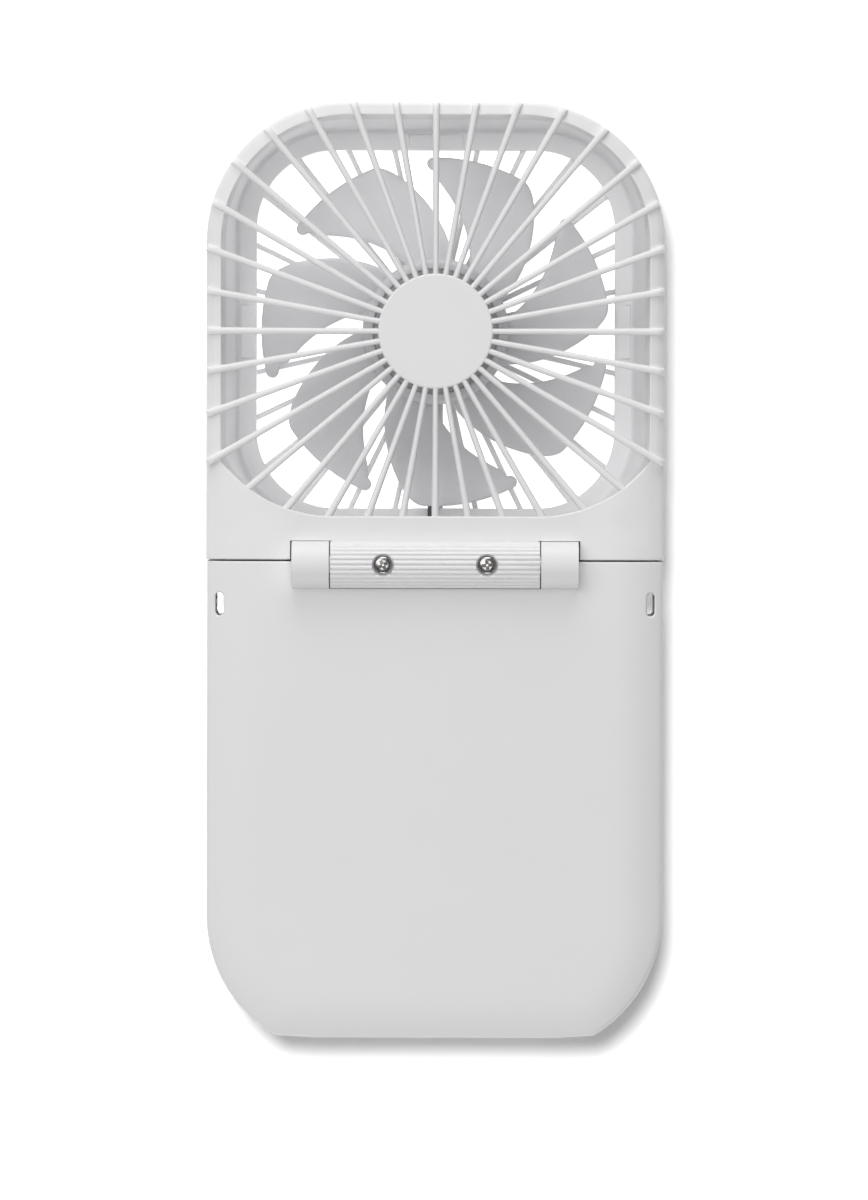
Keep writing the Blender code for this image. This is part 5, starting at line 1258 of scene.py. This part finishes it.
def hinge_screws(finish):
    """Two screws just clear of their seats, each left at its own turn, as the photograph shows."""
    for side, word, turn in ((-1, "left", 0.5), (1, "right", 0.12)):
        sizes = {"head": 1.85, "height": 1.2, "shank": 1.0, "length": 6.0}
        place = (side * SCREW_X, AXIS_Y)
        screw = pan_screw(f"hinge_screw_{word}_fine", place, SCREW_SEAT + 0.02, **sizes, turn=turn)
        dress(screw, finish, "head", [f"hinge_screw_{word}"])


def head_screws(finish):
    """Two screws that point up from the counterbores, with their heads down."""
    for place, word, turn in zip(HEAD_SCREWS, ("left", "right"), (-0.3, 0.3)):
        sizes = {"head": 2.0, "height": 1.2, "shank": 1.0, "length": 10.0}
        screw = pan_screw(f"head_screw_{word}_fine", place, 2.0, **sizes, turn=turn, up=-1)
        dress(screw, finish, "head", [f"head_screw_{word}"])


# %% [markdown]
# The screws are mild steel under bright nickel plate: a strong reflection with a soft bloom. The head's fine
# turning rings from the forming die are drawn as a fine raised grain. Metals keep their default index of
# refraction.

# %% Plated steel and the other metals
def metal(name, colour, roughness, grain_mm, height_mm):
    """A metal whose gloss varies over patches of six grains, with the grain raised a little."""
    made, tree, shader, place = blank(name, colour, roughness, 1.0)
    wear = speckle(tree, place, size_mm=grain_mm * 6, detail=4.0)
    tree.links.new(between(tree, wear, roughness - 0.05, roughness + 0.08), shader.inputs["Roughness"])
    relief(tree, shader, speckle(tree, place, grain_mm, detail=3.0), height_mm, strength=0.6)
    return made


plated_steel = metal("nickel_plated_steel", "#B0AFAE", roughness=0.22, grain_mm=0.25, height_mm=0.004)
brass = metal("turned_brass", "#D6B878", roughness=0.3, grain_mm=0.2, height_mm=0.003)
hinge_screws(plated_steel)
head_screws(plated_steel)

# %% [markdown]
# ## The lead
# The motor's lead is a thin PVC-jacketed wire, extruded, so it is smooth with a soft sheen. It comes out
# of the hinge pin, drops behind the chin, passes the well's wall and lies along the wide rear rib. It is
# a round tube along a smooth curve. Its points are the CAD's, but for the four over the flange, which lie
# a little lower so that the blades' tips clear them.

# %% Motor lead
LEAD_ROUTE = (
    (24.75, 1.1, 24.35),
    (20.85, 1.1, 24.35),
    (16.85, 1.1, 24.35),
    (15.55, 1.2, 23.55),
    (14.95, 2.0, 21.95),
    (14.75, 3.85, 21.4),
    (14.15, 6.0, 19.95),
    (11.95, 6.3, 15.85),
    (8.0, 6.1, 11.5),
    (4.0, 5.8, 7.5),
    (1.0, 5.8, 5.5),
    (-0.6, 6.7, 5.0),
    (-0.9, 8.5, 4.8),
    (-0.9, 12.2, 4.6),
    (-0.9, 14.9, 3.4),
    (-0.9, 17.5, 3.1),
    (-0.9, 23.9, 3.1),
    (-0.9, 33.5, 3.3),
    (-0.9, 35.1, 3.3),
)


def smooth_route(points, steps=8):
    """A Catmull-Rom curve: each stretch is a cubic that leaves and meets its points along their chords."""
    ends = np.concatenate([[2 * points[0] - points[1]], points, [2 * points[-1] - points[-2]]])
    a, b, c, d = ends[:-3, None], ends[1:-2, None], ends[2:-1, None], ends[3:, None]
    t = (np.arange(steps) / steps)[None, :, None]
    curve = b + 0.5 * ((c - a) * t + (2 * a - 5 * b + 4 * c - d) * t**2 + (3 * b - a - 3 * c + d) * t**3)
    return np.concatenate([curve.reshape(-1, 3), points[-1:]])


def lead(name, route, radius):
    """A round tube with closed ends along the smoothed route."""
    curve = bpy.data.curves.new(name, "CURVE")
    curve.dimensions = "3D"
    curve.bevel_depth = radius * MM
    curve.bevel_resolution = 5
    curve.use_fill_caps = True
    points = smooth_route(np.array(route)) * MM
    spline = curve.splines.new("POLY")
    spline.points.add(len(points) - 1)
    spline.points.foreach_set("co", np.insert(points, 3, 1.0, axis=1).ravel())
    drawn = put_in_scene(name, curve)
    mesh = settled_mesh(drawn)
    bpy.data.objects.remove(drawn, do_unlink=True)
    return smooth(tidy_mesh(name, mesh), 50)


def extruded_jacket(name, colour):
    """Soft plastic with a sheen that varies over about a millimetre, and a very fine skin."""
    made, tree, shader, place = blank(name, colour, 0.42, IOR=1.53)
    wear = between(tree, speckle(tree, place, size_mm=1.2, detail=4.0), 0.36, 0.5)
    tree.links.new(wear, shader.inputs["Roughness"])
    relief(tree, shader, speckle(tree, place, size_mm=0.3), height_mm=0.006, strength=0.5)
    return made


LEAD_RADIUS = 0.6
lead_pvc = extruded_jacket("lead_extruded_pvc", "#48484B")
motor_lead = lead("motor_lead_jacket", LEAD_ROUTE, LEAD_RADIUS)
dress(motor_lead, lead_pvc, "head", ["motor_lead"])

# %% [markdown]
# ## Button, port and feet
# The power button is a pill whose face is dished by a quarter of a millimetre and eased at its edge. The
# port is a drawn steel shell round a moulded tongue. The feet are silicone discs with a rounded edge.

# %% Button, port and feet
END_FACE = BASE_END + 0.3
BUTTON_DISH = ((2.05, 0.22), (1.5, 0.18), (0.9, 0.07), (0.45, 0.0), (0.15, 0.06))
BUTTON_BODY = ((0.0, 0.25), (0.0, 1.6), (-0.6, 1.6), (-0.8, 1.8), (-0.8, 2.2), (-0.6, 2.4), (1.9, 2.4))
PORT_BORE = ((1.5, 6.6), (0.35, 6.6), (0.35, 0.15), (0.28, 0.02), (0.18, 0.0), (0.05, 0.05))
PORT_OUTER = ((0.0, 0.15), (0.0, 7.3), (1.5, 7.3))
TONGUE = (6.4, 0.7)
TONGUE_BODY = ((0.2, 0.8), (0.0, 1.0), (0.0, 6.8))
FOOT_BELOW = ((CORE, 0.05), (3.3, 0.05), (3.5, 0.0), (3.75, 0.04), (3.92, 0.14))
FOOT_ABOVE = ((4.0, 0.32), (4.0, 0.8), (CORE, 0.8))


def pill_skin(name, x, size, section):
    """A pill on the end wall. Its section is of (inset, depth behind the wall's own face) points."""
    loops = []
    for inset, deep in section:
        outline = pill(x, PORT_Z, size[0] - 2 * inset, size[1] - 2 * inset, 24)
        loops.append(np.insert(outline, 1, END_FACE + deep, axis=1))
    return smooth(skin(name, np.stack(loops)))


def foot(number, place):
    """A disc turned from the foot's profile."""
    return smooth(lathe(f"foot_{number}_disc", FOOT_BELOW + FOOT_ABOVE, place, steps=72))


def silicone(name, light, dark):
    """Dull rubber, faintly clouded, with a fine matt skin."""
    made, tree, shader, place = blank(name, light, 0.7, IOR=1.41)
    cloud = speckle(tree, place, size_mm=2.0, detail=4.0)
    tree.links.new(tint(tree, cloud, light, dark), shader.inputs["Base Color"])
    relief(tree, shader, speckle(tree, place, size_mm=0.25), height_mm=0.012, strength=0.7)
    return made


button = pill_skin("button_cap", BUTTON_X, BUTTON, BUTTON_DISH + BUTTON_BODY)
dress(button, rear_abs_painted_lighter, "power_button", ["power_button"])
port_shell = pill_skin("port_shell", PORT_X, PORT, PORT_BORE + PORT_OUTER)
dress(port_shell, plated_steel, "base", ["usb_c_port"])
port_tongue = pill_skin("port_tongue", PORT_X, TONGUE, TONGUE_BODY)
dress(port_tongue, lead_pvc, "base", ["usb_c_port"])
foot_silicone = silicone("foot_moulded_silicone", "#BEBEBF", "#B5B5B6")
for number, place in enumerate(FEET, 1):
    dress(foot(number, place), foot_silicone, "base", [f"foot_{number}"])

# %% [markdown]
# ## Finishes for the parts inside
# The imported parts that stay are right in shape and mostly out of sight, and each gets the finish of its
# real stuff: lapped silicon steel for the stator, enamelled copper on its teeth, sintered ferrite for
# the magnet ring, a green solder mask with fine tracks on the boards, and so on.

# %% Materials of the inner parts
def band_scale(pitch_mm):
    """The Wave node's scale for a pitch: the bands it draws are a tenth of pi, over the scale, apart.

    The real pitches are too fine to show, so this scale draws the bands about four times as coarse.
    """
    return 1 / (4 * math.pi * pitch_mm * MM)


def wound_copper():
    """Turns of 0.25 mm enamelled wire: a wave across the coil, shiny and dark orange."""
    made, tree, shader, place = blank("wound_enamelled_copper", "#B4703C", 0.3, 0.85)
    settings = {"bands_direction": "Z", "Scale": band_scale(0.25), "Distortion": 0.6}
    wave = add(tree, "ShaderNodeTexWave", settings, {"Vector": place}).outputs["Fac"]
    tree.links.new(tint(tree, wave, "#8A4A22", "#C98450"), shader.inputs["Base Color"])
    relief(tree, shader, wave, height_mm=0.05, strength=0.8)
    return made


def laminated_steel():
    """Stacked 0.35 mm sheets, seen as fine level lines on the edges."""
    made, tree, shader, place = blank("stacked_silicon_steel", "#77797E", 0.4, 1.0)
    settings = {"bands_direction": "Z", "Scale": band_scale(0.35)}
    wave = add(tree, "ShaderNodeTexWave", settings, {"Vector": place}).outputs["Fac"]
    tree.links.new(tint(tree, wave, "#5E6065", "#85878C"), shader.inputs["Base Color"])
    relief(tree, shader, wave, height_mm=0.02, strength=0.6)
    return made


def sintered_ferrite():
    """Dark grains pressed together, a third of a millimetre across."""
    made, tree, shader, place = blank("sintered_ferrite", "#3B3B3D", 0.62, 0.1)
    grains = speckle(tree, place, size_mm=0.3, detail=4.0)
    tree.links.new(tint(tree, grains, "#2F2F31", "#4A4A4D"), shader.inputs["Base Color"])
    relief(tree, shader, grains, height_mm=0.02, strength=0.8)
    return made


def solder_mask():
    """Glossy green over raised tracks: the edges between the cells of a Voronoi pattern."""
    made, tree, shader, place = blank("green_solder_mask", "#1E6B3C", 0.32)
    settings = {"feature": "DISTANCE_TO_EDGE", "Scale": 1 / (1.8 * MM)}
    cells = add(tree, "ShaderNodeTexVoronoi", settings, {"Vector": place})
    lines = between(tree, cells.outputs["Distance"], 1.0, 0.0, 0.06, 0.1)
    tree.links.new(tint(tree, lines, "#1B5E35", "#2F8A52"), shader.inputs["Base Color"])
    relief(tree, shader, lines, height_mm=0.03, strength=0.6)
    return made


def moulded_matt(name, first, second, roughness, grain_mm, height_mm):
    """A plain moulding whose colour drifts and whose skin has a fine grain of a given size."""
    made, tree, shader, place = blank(name, first, roughness)
    drift = speckle(tree, place, size_mm=grain_mm * 12, detail=3.0)
    tree.links.new(tint(tree, drift, first, second), shader.inputs["Base Color"])
    relief(tree, shader, speckle(tree, place, grain_mm, detail=3.0), height_mm, strength=0.6)
    return made


def clear_acrylic():
    """Clear, with a polish that varies a little."""
    clear = {"IOR": 1.49, "Transmission_Weight": 0.9}
    made, tree, shader, place = blank("moulded_clear_acrylic", "#EEF1F2", 0.12, **clear)
    tree.links.new(between(tree, speckle(tree, place, size_mm=1.0), 0.08, 0.2), shader.inputs["Roughness"])
    return made


def crimped_foil():
    """Aluminium laminate round the cell: creased softly, so the reflections break up."""
    made, tree, shader, place = blank("crimped_foil_pouch", "#A9ABB0", 0.34, 0.7)
    creases = speckle(tree, place, size_mm=4.0, detail=6.0)
    tree.links.new(between(tree, creases, 0.28, 0.45), shader.inputs["Roughness"])
    relief(tree, shader, creases, height_mm=0.15, strength=0.6)
    return made


def numbered(word, count):
    """Names that end in a number, from one."""
    return [f"{word}_{k}" for k in range(1, count + 1)]


epoxy = moulded_matt("moulded_black_epoxy", "#2A2A2C", "#333336", 0.55, grain_mm=0.2, height_mm=0.01)
nylon = moulded_matt("moulded_nylon", "#DDD9CC", "#D2CDBD", 0.5, grain_mm=0.4, height_mm=0.01)
resin = moulded_matt("cast_lamp_resin", "#E9E2B8", "#F2EFD8", 0.25, grain_mm=0.6, height_mm=0.004)
foam = moulded_matt("cast_adhesive_foam", "#4A4A4C", "#3C3C3E", 0.9, grain_mm=0.5, height_mm=0.08)
SMALL_SCREWS = [*numbered("board_screw", 2), *numbered("case_screw", 4)]
MOTOR_STEEL = ["lower_bearing", "upper_bearing", "rotor_yoke", "motor_shaft", "shaft_clip"]
INNER_FINISHES = (
    (wound_copper(), numbered("stator_coil", 6)),
    (laminated_steel(), ["stator_core"]),
    (sintered_ferrite(), ["magnet_ring"]),
    (solder_mask(), ["main_board", "motor_board"]),
    (epoxy, ["control_chip", "inductor", "switch_body", "switch_stem"]),
    (nylon, ["friction_bush_left", "friction_bush_right", "lead_connector"]),
    (resin, numbered("lamp", 4)),
    (foam, ["battery_pad"]),
    (clear_acrylic(), ["light_pipe"]),
    (crimped_foil(), ["battery_cell"]),
    (brass, ["bearing_spacer"]),
    (lead_pvc, ["base_lead"]),
    (plated_steel, [*SMALL_SCREWS, "hinge_pin_left", "hinge_pin_right", *MOTOR_STEEL]),
)
for finish, names in INNER_FINISHES:
    for name in names:
        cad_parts[name].data.materials.clear()
        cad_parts[name].data.materials.append(finish)
shown = [name for name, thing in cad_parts.items() if not thing.hide_render]
print("packed parts still shown:", len(shown))

# %% [markdown]
# ## Camera
# The photograph looks almost straight down through a long lens. One pixel of it is 0.196 mm on the fan's
# face, and its sides lean by a seventh of a degree, which the camera's roll follows. The camera and the
# lamps are placed in metres.

# %% Camera
CAMERA_AT = Vector((-0.0002, 0.0355, 1.8))
LOOK_AT = Vector((-0.0002, -0.0058, 0.024))
FRAME_HEIGHT = 0.23535
ROLL = math.radians(0.14)
SENSOR = 36.0
camera = put_in_scene("camera", bpy.data.cameras.new("camera"))
view_line = LOOK_AT - CAMERA_AT
camera.location = CAMERA_AT
upright = Matrix.Rotation(math.atan2(view_line.y, -view_line.z), 4, "X")
camera.rotation_euler = (upright @ Matrix.Rotation(ROLL, 4, "Z")).to_euler()
camera.data.sensor_width = SENSOR
camera.data.lens = SENSOR * view_line.length / FRAME_HEIGHT
camera.data.clip_start = 0.05
camera.data.clip_end = 20.0
bpy.context.scene.camera = camera
print("lens", round(camera.data.lens, 1), "mm")

# %% [markdown]
# ## Floor, world and lamps
# The floor is a plain pale sheet. To the camera it also glows a little, so that where the lamps reach it
# it comes out white, as the photograph's cut-out ground does, while the fan's own shadow stays. Beneath
# the fan the camera sees a stronger glow, since the photograph shows pure white through the head and the
# left slot. Only the right slot is grey there, so under it the camera sees none. To other rays the floor
# gives a true light under the head's opening and the slots. It lifts their walls, and leans to the left,
# where the photograph's walls are lighter.

# %% Floor
FLOOR_HALF = 1500.0
FLOOR_GLOW = 0.2
THROUGH_GLOW = 0.95
WELL_GLOW = 0.6
FADED_GLOW = 0.1
# Soft shapes on the floor: a centre and two half sizes
UNDER_FAN = ((-2.0, 0.0), 42.0, 90.0)
UNDER_WELL = ((0.0, FAN_Y), 36.0, 36.0)
GLOW_LEANS = ((-22.0, FAN_Y + 2.0), 52.0, 52.0)
UNDER_SLOT = (2.5, 4.0)
# A slot's side, the light that the floor gives there, and the most that the camera sees of it
SLOT_GLOWS = ((-1, 2.6, 1.0), (1, 1.0, 0.0))


def seen_directly(tree):
    """One for rays that show the ground as it is: the camera's, and those through clear plastic."""
    rays = add(tree, "ShaderNodeLightPath").outputs
    links = {0: rays["Is Camera Ray"], 1: rays["Is Transmission Ray"]}
    return add(tree, "ShaderNodeMath", {"operation": "MAXIMUM"}, links).outputs[0]


def superellipse(tree, place, centre, half_x, half_y):
    """How far out a point is, as a share: the fourth root of its x and y shares to the fourth, added."""
    start = (centre[0] * MM, centre[1] * MM, 0.0)
    middle = add(tree, "ShaderNodeVectorMath", {"operation": "SUBTRACT", 1: start}, {0: place})
    parts = add(tree, "ShaderNodeSeparateXYZ", None, {"Vector": middle.outputs[0]})
    powers = []
    for axis, half in (("X", half_x), ("Y", half_y)):
        share = add(tree, "ShaderNodeMath", {"operation": "DIVIDE", 1: half * MM}, {0: parts.outputs[axis]})
        size = add(tree, "ShaderNodeMath", {"operation": "ABSOLUTE"}, {0: share.outputs[0]})
        power = add(tree, "ShaderNodeMath", {"operation": "POWER", 1: 4.0}, {0: size.outputs[0]})
        powers.append(power.outputs[0])
    total = add(tree, "ShaderNodeMath", {"operation": "ADD"}, {0: powers[0], 1: powers[1]})
    return add(tree, "ShaderNodeMath", {"operation": "POWER", 1: 0.25}, {0: total.outputs[0]}).outputs[0]


def paper_floor():
    """Paper that glows softly to the camera, more where it shows through the fan, and lights the well."""
    made, tree, shader, place = blank("pale_paper", "#F0F0F0", 0.9)
    grain = speckle(tree, place, size_mm=0.8, detail=3.0)
    tree.links.new(tint(tree, grain, "#F0F0F0", "#EDEDED"), shader.inputs["Base Color"])
    shader.inputs["Specular IOR Level"].default_value = 0.0
    shader.inputs["Emission Color"].default_value = (1.0, 1.0, 1.0, 1.0)
    beneath = superellipse(tree, place, *UNDER_FAN)
    shown = between(tree, beneath, THROUGH_GLOW, FLOOR_GLOW, 0.985, 1.0)
    inside = between(tree, superellipse(tree, place, *UNDER_WELL), WELL_GLOW, 0.0, 0.95, 1.05)
    leaning = between(tree, superellipse(tree, place, *GLOW_LEANS), WELL_GLOW, FADED_GLOW, 0.4, 1.1)
    given = add(tree, "ShaderNodeMath", {"operation": "MINIMUM"}, {0: inside, 1: leaning}).outputs[0]
    for side, light, cap in SLOT_GLOWS:
        slot = superellipse(tree, place, (side * SLOT_X, SLOT_Y), *UNDER_SLOT)
        under = between(tree, slot, light, 0.0, 0.9, 1.0)
        given = add(tree, "ShaderNodeMath", {"operation": "MAXIMUM"}, {0: given, 1: under}).outputs[0]
        most = between(tree, slot, cap, 1.0, 0.9, 1.0)
        shown = add(tree, "ShaderNodeMath", {"operation": "MINIMUM"}, {0: shown, 1: most}).outputs[0]
    glow = add(tree, "ShaderNodeMix", {"data_type": "FLOAT"}, {0: seen_directly(tree), 2: given, 3: shown})
    tree.links.new(glow.outputs[0], shader.inputs["Emission Strength"])
    return made


corners = np.insert(rectangle(-FLOOR_HALF, -FLOOR_HALF, FLOOR_HALF, FLOOR_HALF), 2, 0.0, axis=1)
floor_mesh = bpy.data.meshes.new("floor")
floor_mesh.from_pydata(corners * MM, [], [(0, 1, 2, 3)])
floor = put_in_scene("floor", floor_mesh)
floor.data.materials.append(paper_floor())
print("the floor is", 2 * FLOOR_HALF * MM, "m wide")

# %% [markdown]
# The light is that of a tent: a big soft box overhead, a low one beyond the head that whitens the
# barrel's upper side, one from the upper left that the blades show, and a low reflector at the near end.
# The photograph's drop shadow is tighter and darker than such light gives, so the floor has a lamp of its
# own, and light linking keeps the soft boxes off it.

# %% World and lamps
WORLD_LIGHT = 0.08
BOX_SIZE = 2.4
BOX_DISTANCE = 3.0
SOFT_BOXES = (
    ("overhead_box", 90, 90, 31.0),
    ("far_box", 90, 21, 52.0),
    ("upper_left_box", 140, 50, 33.0),
    ("near_reflector", 270, 13, 37.0),
)
SHADOW_TILT = (-0.095, 0.2, 1.0)
SHADOW_SIZE = 0.64
SHADOW_DISTANCE = 2.6
SHADOW_POWER = 80.0


def from_angles(azimuth, elevation):
    """A direction from the angle round from +X and the angle up from the floor, both in degrees."""
    round_z, up = math.radians(azimuth), math.radians(elevation)
    return Vector((math.cos(up) * math.cos(round_z), math.cos(up) * math.sin(round_z), math.sin(up)))


def disc_lamp(name, direction, distance, size, power, floor_state):
    """A disc that faces the hinge, unseen by the camera, with the floor as its only receiver or left out."""
    data = bpy.data.lights.new(name, "AREA")
    data.shape = "DISK"
    data.size = size
    data.energy = power
    lamp = put_in_scene(name, data)
    aim = Vector(direction).normalized()
    lamp.location = aim * distance
    lamp.rotation_euler = aim.to_track_quat("Z", "Y").to_euler()
    lamp.visible_camera = False
    receivers = bpy.data.collections.new(f"{name}_receivers")
    receivers.objects.link(floor)
    receivers.collection_objects[0].light_linking.link_state = floor_state
    lamp.light_linking.receiver_collection = receivers
    return lamp


def plain_world():
    """White to rays that see it directly, and a weak fill to all others."""
    world = bpy.data.worlds.new("studio")
    world.use_nodes = True
    tree = world.node_tree
    ground = tree.nodes["Background"]
    ground.inputs["Color"].default_value = (1.0, 1.0, 1.0, 1.0)
    level = between(tree, seen_directly(tree), WORLD_LIGHT, 1.0, 0.0, 1.0)
    tree.links.new(level, ground.inputs["Strength"])
    bpy.context.scene.world = world


plain_world()
for name, azimuth, elevation, power in SOFT_BOXES:
    disc_lamp(name, from_angles(azimuth, elevation), BOX_DISTANCE, BOX_SIZE, power, "EXCLUDE")
disc_lamp("shadow_lamp", SHADOW_TILT, SHADOW_DISTANCE, SHADOW_SIZE, SHADOW_POWER, "INCLUDE")
print("lamps:", len(SOFT_BOXES), "soft boxes and one for the shadow")
bpy.context.scene.view_settings.view_transform = "Standard"
